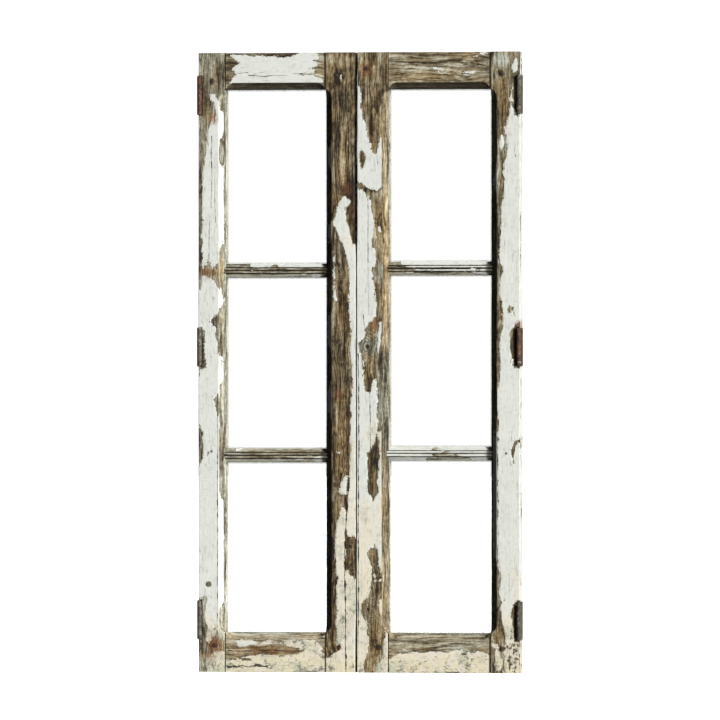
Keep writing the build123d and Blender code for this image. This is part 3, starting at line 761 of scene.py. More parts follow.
# Islands of paint on the bars: (height above the bar's middle, place along), and chips in them.
# The grip makes the paint harder to chip away close to the outline.
BAR_PAINT_GRIP = 2.2
BAR_PAINT = {
    "left_upper_glazing_bar": {
        "kept": [
            [(6.3, -222), (18, -222), (18, -60), (6.3, -60)],
            [(-6.5, -120), (-10, -119), (-10, -110), (-7.5, -108)],
            [(-6, -97), (-18, -99), (-18, -83), (-7, -81)],
        ],
        "bare": [[(6, -182), (12, -176), (12, -168), (6, -160)]],
    },
    "left_lower_glazing_bar": {
        "kept": [
            [(-5.5, -182), (-9.5, -178), (-9.5, -163), (-6, -167)],
            [(-6, -132), (-10, -130), (-10, -118), (-5.5, -119)],
            [(1, -76), (-3, -92), (-8, -98), (-18, -80), (-18, -60), (1, -60)],
            [(8, -250), (18, -252), (18, -240), (12, -236)],
        ],
        "bare": [],
    },
    "right_upper_glazing_bar": {
        "kept": [
            [(6.3, 86), (18, 80), (18, 275), (6.3, 275)],
            [(1.8, 97), (5.4, 92), (5.4, 275), (1.8, 275)],
            [(-1.8, 112), (-4, 118), (-5.4, 160), (-5.4, 275), (-1.8, 275)],
            [(-7, 94), (-10.5, 92), (-10.5, 108), (-7, 108)],
            [(-6, 222), (-12, 232), (-14, 275), (-6, 275)],
        ],
        "bare": [],
    },
    "right_lower_glazing_bar": {
        "kept": [[(-18, 50), (18, 50), (18, 275), (-18, 275)]],
        "bare": [
            [(9, 146), (13, 150), (13, 159), (9, 158)],
            [(-18, 136), (-9, 131), (-7, 180), (-8, 222), (-18, 228)],
            [(-2, 146), (-5.2, 150), (-5.2, 205), (-2, 198)],
            [(2, 168), (5.2, 172), (5.2, 180), (2, 184)],
        ],
    },
}


# How much faster an island's paint becomes sound, inward from its outline.
FLAKE_GRIP = 2.4


def front_field(member, across, along):
    """How far each room-face vertex lies inside the paint, before the ragged noise."""
    places = np.stack([across, along], axis=1)
    patches = PATCHES[member.node]
    field = np.full(len(places), SOUND)
    for outline in patches["bare"]:
        field = np.minimum(field, -depth_inside(places, outline))
    for outline in patches["kept"]:
        depth = depth_inside(places, outline)
        field = np.maximum(field, np.where(depth > 0, depth * FLAKE_GRIP, depth))
    return field


# Where each leaf's four corner nails go in, as (x, z).
NAILS = {
    "left": [(-297.4, 1183.0), (-44.4, 1193.0), (-292.0, 53.4), (-39.4, 51.0)],
    "right": [(15.6, 1207.0), (286.6, 1197.0), (40.6, 51.0), (286.6, 49.0)],
}


def nails_in(member):
    """Where the corner nails go through a stile, as (across, along) in mm."""
    return [
        ((x - member.outer) * member.toward, z)
        for x, z in NAILS[member.leaf]
        if member.upright and 0 < (x - member.outer) * member.toward < member.width
    ]


def spots(places, marks):
    """The sum of soft ellipses: (across, along, reach across, reach along, amount)."""
    core, rim = 0.35, 1.15
    total = np.zeros(len(places))
    for across, along, wide, tall, amount in marks:
        away = np.linalg.norm((places - [across, along]) / [wide, tall], axis=1)
        total += amount * (1 - ramp_up(away, core, rim))
    return total


# How many splits a member can have, and the value that means none is near.
SPLIT_SLOTS = 4
FAR = 60.0


def split_values(flat, wander, splits):
    """Each split's signed distance over its half width, so that a split is where this is near 0."""
    values = {}
    for slot in range(SPLIT_SLOTS):
        value = np.full(len(flat), FAR)
        if slot < len(splits):
            width, points = splits[slot]
            points = sorted(points, key=lambda p: p[1])
            line = np.interp(flat[:, 1], [p[1] for p in points], [p[0] for p in points])
            within = (flat[:, 1] > points[0][1]) & (flat[:, 1] < points[-1][1])
            value = np.where(within, (flat[:, 0] - line + wander) / width, FAR)
        values[f"split_{slot + 1}"] = value
    return values


# Painted shade: the coves, fillets and sight faces of the members whose mouldings face away from the key
# light are darkened towards near-black.
HOLLOW_PAINTED_SHADE = {
    "left_meeting_stile": 0.66, "right_hinge_stile": 0.66, "left_top_rail": 0.78, "right_top_rail": 0.84,
}
# The size of the ragged edge's flakes. How sound the paint is on each part of a member, and how
# much that varies from place to place.
FLAKE_RUN = (3.0, 3.0, 16.0)
COVE_PAINT = 5.0
FILLET_PAINT = (-2.6, 4.5)
REAR_PAINT = (4.0, 14)
OUTER_PAINT = (-4.0, 9)
SIGHT_PAINT = (1.0, 8)
# How sound the paint on an outer edge is, where it isn't mostly gone, and how far in from the
# face the face's own paint wraps round the arris.
EDGE_PAINT = {"right_hinge_stile": 4.5}
ARRIS_DEPTH = (1.5, 3.5)
# How much further the bare runs of a moulding reach at its inner side, which tapers the paint.
MOULD_TAPER = 28.0
# The stain round a nail, as spots() takes it: (reach across, reach along, amount).
NAIL_STAIN = (7.0, 8.0, -0.55)


def paint_values(member, across, along, region, places):
    """The numbers that the material reads at each vertex."""
    patches = PATCHES[member.node]
    run = lie(member, FLAKE_RUN)
    ragged = noise(places, run, member.seed) * 0.8 + noise(places, run / 2, member.seed + 5) * 0.5
    broad = noise(places, run * 4, member.seed + 9, 2)
    field = front_field(member, across, along)
    cove = np.full(len(places), COVE_PAINT)
    taper = MOULD_TAPER * np.clip((across - member.width + MOULDING) / MOULDING, 0, 1)
    taper = taper * (1 + 0.8 * noise(places, run * 5, member.seed + 13)) * member.upright
    for low, high in patches["mould"]:
        cove = np.minimum(cove, np.maximum(low - taper - along, along - high - taper) / 3)
    fillet = FILLET_PAINT[1] * noise(places, run * 2, member.seed + 15)
    fillet = np.minimum(cove, FILLET_PAINT[0]) + fillet
    cove = cove + broad * 2
    rear = REAR_PAINT[0] + REAR_PAINT[1] * noise(places, run * 5, member.seed + 21, 3)
    edge = OUTER_PAINT[1] * noise(places, run * 4, member.seed + 33, 2)
    edge = EDGE_PAINT.get(member.node, OUTER_PAINT[0]) + edge
    arris = 1 - ramp_up(places[:, 1] - FACE, *ARRIS_DEPTH)
    edge = edge + (field - edge) * arris
    sight = SIGHT_PAINT[0] + SIGHT_PAINT[1] * noise(places, run * 3, member.seed + 41, 2)
    for kind, value in ((COVE, cove), (FILLET, fillet), (SIGHT, sight), (REAR, rear), (EDGE, edge)):
        field = np.where(region == kind, value, field)
    flat = np.stack([across, along], axis=1)
    front = region == FRONT
    near_front = front | (region == COVE) | (region == FILLET) | (region == EDGE)
    hollow = (region == COVE) | (region == FILLET) | (region == SIGHT)
    rust = np.zeros(len(places))
    for at_across, at_along, reach, strength in patches["rust"]:
        away = np.linalg.norm((flat - [at_across, at_along]) * [1.0, 0.8], axis=1)
        rust = np.maximum(rust, strength * (1 - ramp_up(away, reach * 0.2, reach)))
    knot = np.full(len(places), NO_KNOT)
    for at_across, at_along, radius in patches["knots"]:
        away = np.linalg.norm((flat - [at_across, at_along]) * [1.0, 0.85], axis=1)
        knot = np.minimum(knot, away / radius)
    light, warm = patches["wood"]
    tone = light + spots(flat, patches["shade"]) * near_front
    tone += spots(flat, [(*at, *NAIL_STAIN) for at in nails_in(member)]) * near_front
    tone += 0.10 * noise(places, run * 5, member.seed + 61, 2)
    # Painted shade: every outer edge face is darker, as the meeting edges sit in the shade of the gap
    # between the leaves.
    tone -= 0.25 * (region == EDGE)
    warm = warm + spots(flat, patches["warm"]) * near_front
    warm += 0.45 * noise(places, run * 4, member.seed + 67, 2) - 0.7 * (region == FILLET)
    share = (along - member.start) / (member.end - member.start)
    low, high, reach = patches["cream"]
    cream = low + (high - low) * ramp_up(share, 0.0, reach)
    cream += (0.15 if member.upright else 0.50) * noise(places, run * 5, member.seed + 91, 3)
    cream += 0.65 * near_front * (1 - ramp_up(places[:, 2] + 12 * broad, 8, 42))
    values = {
        "paint": field + ragged + broad * 0.6,
        "rust": rust * near_front,
        "tone": tone,
        "warm": warm,
        "cream": cream,
        "knot": np.where(near_front, knot, NO_KNOT),
        "soot": HOLLOW_PAINTED_SHADE.get(member.node, 0.0) * hollow,
    }
    # Where a stile's hollows run on into its joint with a rail, the paint is gone and painted shade
    # darkens them.
    joint = hollow & member.upright & ((along < member.stops[0]) | (along > member.stops[1]))
    values["paint"] = np.where(joint, GONE, values["paint"])
    values["soot"] = np.where(joint, JOINT_PAINTED_SHADE, values["soot"])
    wander = noise(places, run * 1.5, member.seed + 51) * 0.7
    for name, value in split_values(flat, wander, patches["splits"]).items():
        values[name] = np.where(front, value, FAR)
    return values


# The weathered grooves: their size, how much broader the second lot is, how deep they are under
# paint and how much deeper in bare wood. Then the gentle unevenness and the dip of a knot, in mm.
GROOVE_RUN = (1.9, 3.0, 70.0)
GROOVE_SPREAD = (2.4, 2.4, 1.0)
GROOVE_DEPTH = (0.15, 0.6)
UNEVEN = 0.3
KNOT_DIP = 0.5


def relief(member, values, places):
    """How far each vertex stands out from the sawn surface, in mm."""
    run = lie(member, GROOVE_RUN)
    broader = lie(member, GROOVE_SPREAD)
    bare = 1 - ramp_up(values["paint"], -0.6, 0.6)
    grooves = np.abs(noise(places, run, member.seed + 71))
    grooves += 0.6 * np.abs(noise(places, run * broader, member.seed + 73))
    lift = -SKIN + PAINT_THICKNESS * (1 - bare)
    lift -= (GROOVE_DEPTH[0] + GROOVE_DEPTH[1] * bare) * (grooves - 0.35).clip(0, None)
    lift += UNEVEN * noise(places, [40, 40, 40], member.seed + 81)
    lift -= KNOT_DIP * (1 - ramp_up(values["knot"], 0.1, 0.7))
    return lift


# The stub of rail in an open joint: its length, how much smaller it is, and its rows of vertices.
STUB = 6.0
STUB_SHRINK = 0.93
STUB_ROWS = 2


def drawn_ends(member, across, depth, along):
    """Adds a shrunken stub at each end of a rail, hidden in the stile behind an open joint."""
    left, right = OPEN_JOINTS[member.node]
    along = along * 1.0
    along[0] = member.start + left
    along[-1] = member.end - right
    keep = np.ones(len(along), bool)
    keep[1:-1] = (along[1:-1] > along[0] + 0.2) & (along[1:-1] < along[-1] - 0.2)
    across, depth, along = across[keep], depth[keep], along[keep]

    def shrunk(values, row):
        middle = values[row].mean()
        return middle + (values[row] - middle) * STUB_SHRINK

    across, depth = (
        np.vstack([shrunk(grid, 0)] * STUB_ROWS + [grid] + [shrunk(grid, -1)] * STUB_ROWS)
        for grid in (across, depth)
    )
    ends = (member.start - STUB, along[0] - STEP_EDGE, along[-1] + STEP_EDGE, member.end + STUB)
    along = np.concatenate([ends[:2], along, ends[2:]])
    return across, depth, along


def build_member(node, upright, seed, material):
    """A stile or rail, with its mouldings, hinge pockets, worn arrises and what is left of its paint."""
    member = Member(node, upright, seed)
    along = stations(member)
    across, depth, regions = member_section(member, along)
    across = round_off(across)
    depth = round_off(depth)
    if not upright:
        across, depth, along = drawn_ends(member, across, depth, along)
    rows, columns = across.shape
    run = np.repeat(along[:, None], columns, axis=1)
    standing = bowed(member, across, depth, run) if node in BOWED else across
    grid = member.world(standing, depth, run)
    places = grid.reshape(-1, 3)
    region = np.tile(regions, rows)
    values = paint_values(member, across.ravel(), run.ravel(), region, places)
    if not upright:
        # The hidden stubs get painted shade, so that the open joints read dark.
        hidden = np.zeros((rows, columns), bool)
        hidden[:STUB_ROWS] = True
        hidden[-STUB_ROWS:] = True
        values["paint"] = np.where(hidden.ravel(), GONE, values["paint"])
        values["soot"] = np.where(hidden.ravel(), JOINT_PAINTED_SHADE, values["soot"])
    lift = relief(member, values, places)
    normal = grid_normals(grid).reshape(-1, 3)
    normal[:, 0 if not upright else 2] = 0
    places = places + normal * lift[:, None]
    low, high = node_box(node)
    if node in BOWED:
        low = low - [BOWED[node] * (member.toward > 0), 0, 0]
        high = high + [BOWED[node] * (member.toward < 0), 0, 0]
    places = np.clip(places, low, high)
    return make_object(
        f"{node}_weathered", places, loft_faces(rows, columns), f"{member.leaf}_leaf",
        material, values, [node],
    )


# ==== glazing bars ====


# The widths from a bar's centre, how deep its room side goes, and the run of painted shadow at its right
# end, where the stile beside it casts its shadow.
BAR_HALF_WIDTH = 14.0
TONGUE_HALF_WIDTH = 6.0
BAR_ROOM_SIDE = 10.5
BAR_RECESS_DEPTH = 3.5
BAR_SHADOW_RUN = (13, 5)


def cope_reach(depth):
    """How far past the sight edge the stile's moulding leaves room at a depth from its face."""
    radii, depths = zip(*moulding_profile())
    return np.interp(depth, depths, radii) - CUTTER_OFFSET


def bar_half():
    """Half of a bar's section from its nose round to its tongue: (from the centre, depth, kind)."""
    nose = BAR_FRONT - FACE
    points = [(0, 1.6), (0.8, 1.6), (1.5, 1.6), (2.2, 0), (3.1, 0), (4.0, 0)]
    points += [(5.0, 0), (5.4, 1.5), (5.4, 3), (6.6, 3)]
    points += [(6.6 + 7.4 * i / 7, 3 + 6 * i / 7) for i in range(1, 8)]
    front = [(w, nose + d, 0) for w, d in points]
    rebate = GLASS_FRONT - FACE
    half, tongue = BAR_HALF_WIDTH, TONGUE_HALF_WIDTH
    side = [(half, nose + 12, 0), (half, rebate, 0), (10.0, rebate, 0), (tongue, rebate, 0)]
    depths = (rebate + 0.1, rebate + 4, rebate + 9, BACK - FACE)
    return front + side + [(tongue, depth, 1) for depth in depths] + [(3.0, BACK - FACE, 1)]


def build_bar(node, seed, material):
    """A glazing bar between its stiles, coped over their moulding, with its own islands of paint."""
    leaf = node.split("_")[0]
    low, high = node_box(node)
    centre = (low[2] + high[2]) / 2
    half = bar_half()
    loop = half + [(-w, d, kind) for w, d, kind in reversed(half[1:])]
    offset = np.array([w for w, d, kind in loop])
    deep = np.array([d for w, d, kind in loop])
    tongue = np.array([kind for w, d, kind in loop])
    opening = Member(f"{leaf}_top_rail", False, 0).opening_x
    reach = np.where(tongue == 1, REBATE, np.maximum(cope_reach(deep), 0) - 0.1)
    reach = np.where((tongue == 0) & (deep > MOULDING_DEPTH), 0.0, reach)
    rows = int((opening[1] - opening[0]) / ALONG_STEP)
    share = np.linspace(0, 1, rows)[:, None]
    along = (opening[0] - reach) * (1 - share) + (opening[1] + reach) * share
    columns = len(loop)
    across = np.tile(offset, (rows, 1))
    depth = np.tile(deep, (rows, 1)) + FACE
    across = round_off(across)
    depth = round_off(depth)
    grid = np.stack([along, depth, centre + across], axis=-1)
    places = grid.reshape(-1, 3)
    spot = np.stack([across.ravel(), grid[..., 0].ravel()], axis=1)
    front = depth.ravel() < BAR_FRONT + BAR_ROOM_SIDE
    run = np.array([18.0, 3.0, 3.0])
    field = np.full(len(places), GONE)
    for outline in BAR_PAINT[node]["kept"]:
        field = np.maximum(field, depth_inside(spot, outline))
    for outline in BAR_PAINT[node]["bare"]:
        field = np.minimum(field, -depth_inside(spot, outline))
    field = np.where(np.abs(field) < 5, field * BAR_PAINT_GRIP, field)
    back = 2.0 + 6.0 * noise(places, run * 2, seed, 2)
    field = np.where(front, field, back) + noise(places, run / 2, seed + 3) * 0.8
    recess = (np.abs(offset) < 1.0) | ((np.abs(offset) > 5.2) & (np.abs(offset) < 6.7))
    recess = np.tile(recess & (deep < BAR_FRONT - FACE + BAR_RECESS_DEPTH), rows)
    light, warm, cream = BAR_WOOD[node]
    # Painted shadow: the bar's right end darkens towards near-black where the stile on its right casts its
    # shadow.
    shadow_along = spot[:, 1] + 2.0 * noise(places, [6, 6, 6], seed + 17)
    lower = (across.ravel() < -6.7) & front
    values = {
        "paint": np.where(recess, -3.0, field),
        "rust": np.zeros(len(places)),
        # Painted shade darkens the quirks and recesses, and painted light lifts the lower bevels, which
        # face away from the key light.
        "tone": light + 0.12 * noise(places, run * 3, seed + 7, 2) - 0.9 * recess + 0.25 * lower,
        "warm": warm + 0.4 * noise(places, run * 3, seed + 9, 2),
        "cream": np.full(len(places), cream),
        "knot": np.full(len(places), NO_KNOT),
        "soot": 0.9 * ramp_up(shadow_along, opening[1] - BAR_SHADOW_RUN[0], opening[1] - BAR_SHADOW_RUN[1]),
    }
    for slot in range(SPLIT_SLOTS):
        values[f"split_{slot + 1}"] = np.full(len(places), FAR)
    bare = 1 - ramp_up(field, -0.6, 0.6)
    lift = -0.25 + 0.25 * (1 - bare) - 0.5 * bare * np.abs(noise(places, [60, 1.6, 1.6], seed + 11))
    lift += 0.2 * noise(places, [18, 18, 18], seed + 13)
    places = places + grid_normals(grid).reshape(-1, 3) * lift[:, None]
    places = np.clip(places, low, high)
    return make_object(
        f"{node}_weathered", places, loft_faces(rows, columns), f"{leaf}_leaf",
        material, values, [node],
    )


# ==== putty and glass ====


# The bead's section from the sight edge outward, as (out, up from the glass), and how far each of
# its points shows. Then the step along the bead, and how far its lumps stand out.
PUTTY_SECTION = [
    (0.0, 0.0), (2.2, 2.6), (4.4, 5.2), (6.3, 8.0), (7.0, 9.0),
    (8.0, 9.2), (8.0, 5.0), (8.0, 0.0), (4.0, 0.0),
]
PUTTY_SHOWS = [0, 1, 1, 1, 1, 0.4, 0, 0, 0]
PUTTY_STEP = 3
PUTTY_LUMP = 0.9
# A pane's columns and rows, its ripple and its air, and how wide the grime at its rim is.
PANE_GRID = (44, 72)
RIPPLE = 0.08
PANE_SLACK = 0.1
GRIME_WIDTH = 6.0


def ring_path(leaf, pane):
    """The pane's opening: left, right, bottom and top sight edges in mm."""
    low, high = node_box(f"{leaf}_{pane}_putty")
    return low[0] + REBATE, high[0] - REBATE, low[2] + REBATE, high[2] - REBATE


def build_putty(leaf, pane, seed, material):
    """A hand-knifed bead of putty, lumpy, shrunk and chipped, mitred round the pane's corners."""
    left, right, bottom, top = ring_path(leaf, pane)
    glass = node_box(f"{leaf}_{pane}_pane")[1][1]
    corners = [(left, bottom), (right, bottom), (right, top), (left, top)]
    outward = [(-1, -1), (1, -1), (1, 1), (-1, 1)]
    rings = []
    for i in range(4):
        a, b = np.array(corners[i]), np.array(corners[(i + 1) % 4])
        way_a, way_b = np.array(outward[i]), np.array(outward[(i + 1) % 4])
        count = int(np.linalg.norm(b - a) / PUTTY_STEP)
        for j in range(count):
            share = j / count
            rings.append((a, b, way_a, way_b, share))
    grid = np.zeros((len(rings), len(PUTTY_SECTION), 3))
    for row, (a, b, way_a, way_b, share) in enumerate(rings):
        for column, (grow, rise) in enumerate(PUTTY_SECTION):
            start, end = a + way_a * grow, b + way_b * grow
            place = start + (end - start) * share
            grid[row, column] = (place[0], glass + rise, place[1])
    places = grid.reshape(-1, 3)
    visible = np.tile(PUTTY_SHOWS, len(rings))
    chipped = np.minimum(noise(places, [5, 5, 26], seed + 3), -0.45)
    lumps = noise(places, [9, 6, 9], seed, 2) * 0.7 + chipped * 1.6 + 0.7
    places = places + np.array([0, 1, 0]) * (lumps * visible)[:, None] * PUTTY_LUMP
    low, high = node_box(f"{leaf}_{pane}_putty")
    places = np.clip(places, low, high)
    rows, columns = grid.shape[:2]
    index = np.arange(rows * columns).reshape(rows, columns)
    ahead = np.roll(index, -1, axis=0)
    faces = np.stack([index, np.roll(index, -1, 1), np.roll(ahead, -1, 1), ahead], axis=-1).reshape(-1, 4)
    return make_object(
        f"{leaf}_{pane}_putty_bead", places, faces.tolist(), f"{leaf}_leaf", material,
        {"chip": ramp_up(-lumps * visible, 0.1, 0.7)}, [f"{leaf}_{pane}_putty"],
    )


def build_pane(leaf, pane, seed, material):
    """A sheet of old drawn glass, very slightly rippled, with grime along its edges."""
    low, high = node_box(f"{leaf}_{pane}_pane")
    columns, rows = PANE_GRID
    xs = np.linspace(low[0], high[0], columns)
    zs = np.linspace(low[2], high[2], rows)
    x, z = np.meshgrid(xs, zs)
    flat = np.stack([x, 0 * x, z], axis=-1).reshape(-1, 3)
    ripple = RIPPLE * noise(flat, [120, 1, 30], seed, 2)
    front = flat + [0, low[1] + PANE_SLACK, 0] + ripple[:, None] * [0, 1, 0]
    back = flat + [0, high[1] - PANE_SLACK, 0] + ripple[:, None] * [0, 1, 0]
    places = np.vstack([front, back])
    places = np.clip(places, low, high)
    index = np.arange(rows * columns).reshape(rows, columns)
    quads = np.stack([index[:-1, :-1], index[:-1, 1:], index[1:, 1:], index[1:, :-1]], -1).reshape(-1, 4)
    under = quads[:, ::-1] + rows * columns
    rim = list(index[0, :]) + list(index[1:, -1]) + list(index[-1, -2::-1]) + list(index[-2:0:-1, 0])
    sides = [
        [a, b, b + rows * columns, a + rows * columns]
        for a, b in zip(rim, rim[1:] + rim[:1])
    ]
    faces = quads.tolist() + under.tolist() + sides
    margin = np.minimum.reduce([
        places[:, 0] - low[0] - GRIME_WIDTH, high[0] - GRIME_WIDTH - places[:, 0],
        (places[:, 2] - low[2] - GRIME_WIDTH) * 0.6, high[2] - GRIME_WIDTH - places[:, 2],
    ])
    grime = 1 - ramp_up(margin + 0.8 * noise(places, [14, 14, 14], seed + 3), -0.5, 1.5)
    return make_object(
        f"{leaf}_{pane}_sheet", places, faces, f"{leaf}_leaf", material,
        {"grime": grime}, [f"{leaf}_{pane}_pane"], sharp=30,
    )


# ==== materials ====


class Look:
    """A material's node graph. Each call adds to it and returns the output that matters."""

    def __init__(self, name):
        self.material = bpy.data.materials.new(name)
        self.material.use_nodes = True
        self.tree = self.material.node_tree
        self.tree.nodes.clear()
        self.out = self.tree.nodes.new("ShaderNodeOutputMaterial")

    def node(self, kind, inputs=(), **settings):
        made = self.tree.nodes.new(kind)
        for key, value in settings.items():
            setattr(made, key, value)
        for key, value in dict(inputs).items():
            self.put(made.inputs[key], value)
        return made

    def put(self, socket, value):
        if isinstance(value, bpy.types.NodeSocket):
            self.tree.links.new(value, socket)
        else:
            socket.default_value = value

    def place(self):
        """The object's own coordinates in mm."""
        coords = self.node("ShaderNodeTexCoord").outputs["Object"]
        return self.stretch(coords, (1000, 1000, 1000))

    def stretch(self, coords, amounts):
        made = self.node("ShaderNodeVectorMath", {0: coords, 1: amounts}, operation="MULTIPLY")
        return made.outputs[0]

    def value(self, name):
        return self.node("ShaderNodeAttribute", attribute_name=name).outputs["Fac"]

    def noise(self, coords, size, detail=2.0, distortion=0.0, roughness=0.5):
        inputs = {
            "Vector": coords, "Scale": 1.0 / size, "Detail": detail,
            "Roughness": roughness, "Distortion": distortion,
        }
        return self.node("ShaderNodeTexNoise", inputs).outputs["Fac"]

    def cells(self, coords, size, feature="F1"):
        inputs = {"Vector": coords, "Scale": 1.0 / size}
        return self.node("ShaderNodeTexVoronoi", inputs, feature=feature).outputs["Distance"]

    def chips(self, coords, size):
        """One random number for each ragged cell."""
        inputs = {"Vector": coords, "Scale": 1.0 / size}
        return self.node("ShaderNodeTexVoronoi", inputs, feature="F1").outputs["Color"]

    def warp(self, coords, size, amount):
        """Coordinates pushed about by up to half the amount, in mm."""
        inputs = {"Vector": coords, "Scale": 1.0 / size, "Detail": 2.0}
        push = self.node("ShaderNodeTexNoise", inputs).outputs["Color"]
        terms = {0: push, 1: (amount, amount, amount), 2: (-amount / 2, -amount / 2, -amount / 2)}
        push = self.node("ShaderNodeVectorMath", terms, operation="MULTIPLY_ADD").outputs[0]
        return self.node("ShaderNodeVectorMath", {0: coords, 1: push}, operation="ADD").outputs[0]

    def maths(self, operation, a, b=0.0, c=None, clamp=False):
        made = self.node("ShaderNodeMath", {0: a, 1: b}, operation=operation, use_clamp=clamp)
        if c is not None:
            self.put(made.inputs[2], c)
        return made.outputs[0]

    def times(self, a, b):
        return self.maths("MULTIPLY", a, b)

    def times_plus(self, a, b, c):
        return self.maths("MULTIPLY_ADD", a, b, c)

    def near_half(self, value, low, high):
        """1 where value lies within low of a half, falling to 0 at high."""
        away = self.maths("ABSOLUTE", self.maths("SUBTRACT", value, 0.5))
        return self.step(away, low, high, 1.0, 0.0)

    def step(self, fac, low, high, start=0.0, end=1.0):
        inputs = {"Value": fac, "From Min": low, "From Max": high, "To Min": start, "To Max": end}
        return self.node("ShaderNodeMapRange", inputs, interpolation_type="SMOOTHSTEP").outputs[0]

    def ramp(self, fac, stops):
        made = self.node("ShaderNodeValToRGB", {"Fac": fac})
        elements = made.color_ramp.elements
        while len(elements) < len(stops):
            elements.new(0.5)
        for element, (at, colour) in zip(elements, stops):
            element.position = at
            element.color = (*colour, 1)
        return made.outputs["Color"]

    def mix(self, fac, a, b, blend="MIX"):
        made = self.node("ShaderNodeMix", data_type="RGBA", blend_type=blend)
        for socket, value in ((made.inputs[0], fac), (made.inputs[6], a), (made.inputs[7], b)):
            if isinstance(value, tuple):
                value = (*value, 1)
            self.put(socket, value)
        return made.outputs[2]

    def blend(self, fac, a, b):
        """A number part of the way from a to b."""
        made = self.node("ShaderNodeMix", data_type="FLOAT")
        for socket, value in ((made.inputs[0], fac), (made.inputs[2], a), (made.inputs[3], b)):
            self.put(socket, value)
        return made.outputs[0]

    def bump(self, height, strength=1.0):
        """A normal from a height in mm."""
        inputs = {"Height": height, "Distance": MM, "Strength": strength}
        return self.node("ShaderNodeBump", inputs).outputs["Normal"]

    def finish(self, colour, roughness, normal=None, metallic=0.0, specular=0.5):
        inputs = {"Base Color": colour, "Roughness": roughness, "Metallic": metallic}
        shader = self.node("ShaderNodeBsdfPrincipled", inputs)
        shader.inputs["Specular IOR Level"].default_value = specular
        if normal is not None:
            self.put(shader.inputs["Normal"], normal)
        self.tree.links.new(shader.outputs[0], self.out.inputs["Surface"])
        return self.material


BLACK_WOOD = (0.012, 0.009, 0.006)
DARK_WOOD = (0.050, 0.039, 0.024)
BROWN_WOOD = (0.138, 0.121, 0.080)
GREY_WOOD = (0.262, 0.244, 0.188)
PALE_WOOD = (0.480, 0.455, 0.375)
WARM_TINT = (1.24, 0.98, 0.64)
COOL_TINT = (0.92, 0.98, 1.00)
COOL_PAINT = (0.600, 0.620, 0.590)
CREAM_PAINT = (0.640, 0.590, 0.475)
YELLOW_PAINT = (0.620, 0.570, 0.415)
PINK_PAINT = (0.640, 0.585, 0.520)
MOULD = (0.150, 0.140, 0.100)
# The next colour is the near-black of the painted shade in hollows and joints and of the painted shadow on
# the bars' ends.
PAINTED_SHADE_BLACK = (0.021, 0.013, 0.007)
STRAW_STAIN = (0.420, 0.350, 0.220)
GREEN_STAIN = (0.400, 0.430, 0.340)
OLD_COAT = (0.400, 0.385, 0.310)
RIM_PAINT = (0.620, 0.570, 0.440)
DIRT = (0.180, 0.170, 0.135)
RUST_STAIN = (0.170, 0.066, 0.030)
DULL_PUTTY = (0.36, 0.33, 0.26)
PUTTY_GREY = (0.58, 0.55, 0.47)
PALE_PUTTY = (0.74, 0.72, 0.66)
PUTTY_CRACK = (0.06, 0.05, 0.04)
CHIPPED_PUTTY = (0.30, 0.27, 0.21)
GLASS_TINT = (0.985, 0.995, 0.99, 1)
GLASS_DUST = (0.42, 0.40, 0.34, 1)
WHITE = (1, 1, 1, 1)


# How much longer than wide the bends of the grain are: one over this.
GRAIN_DRAW = 0.42


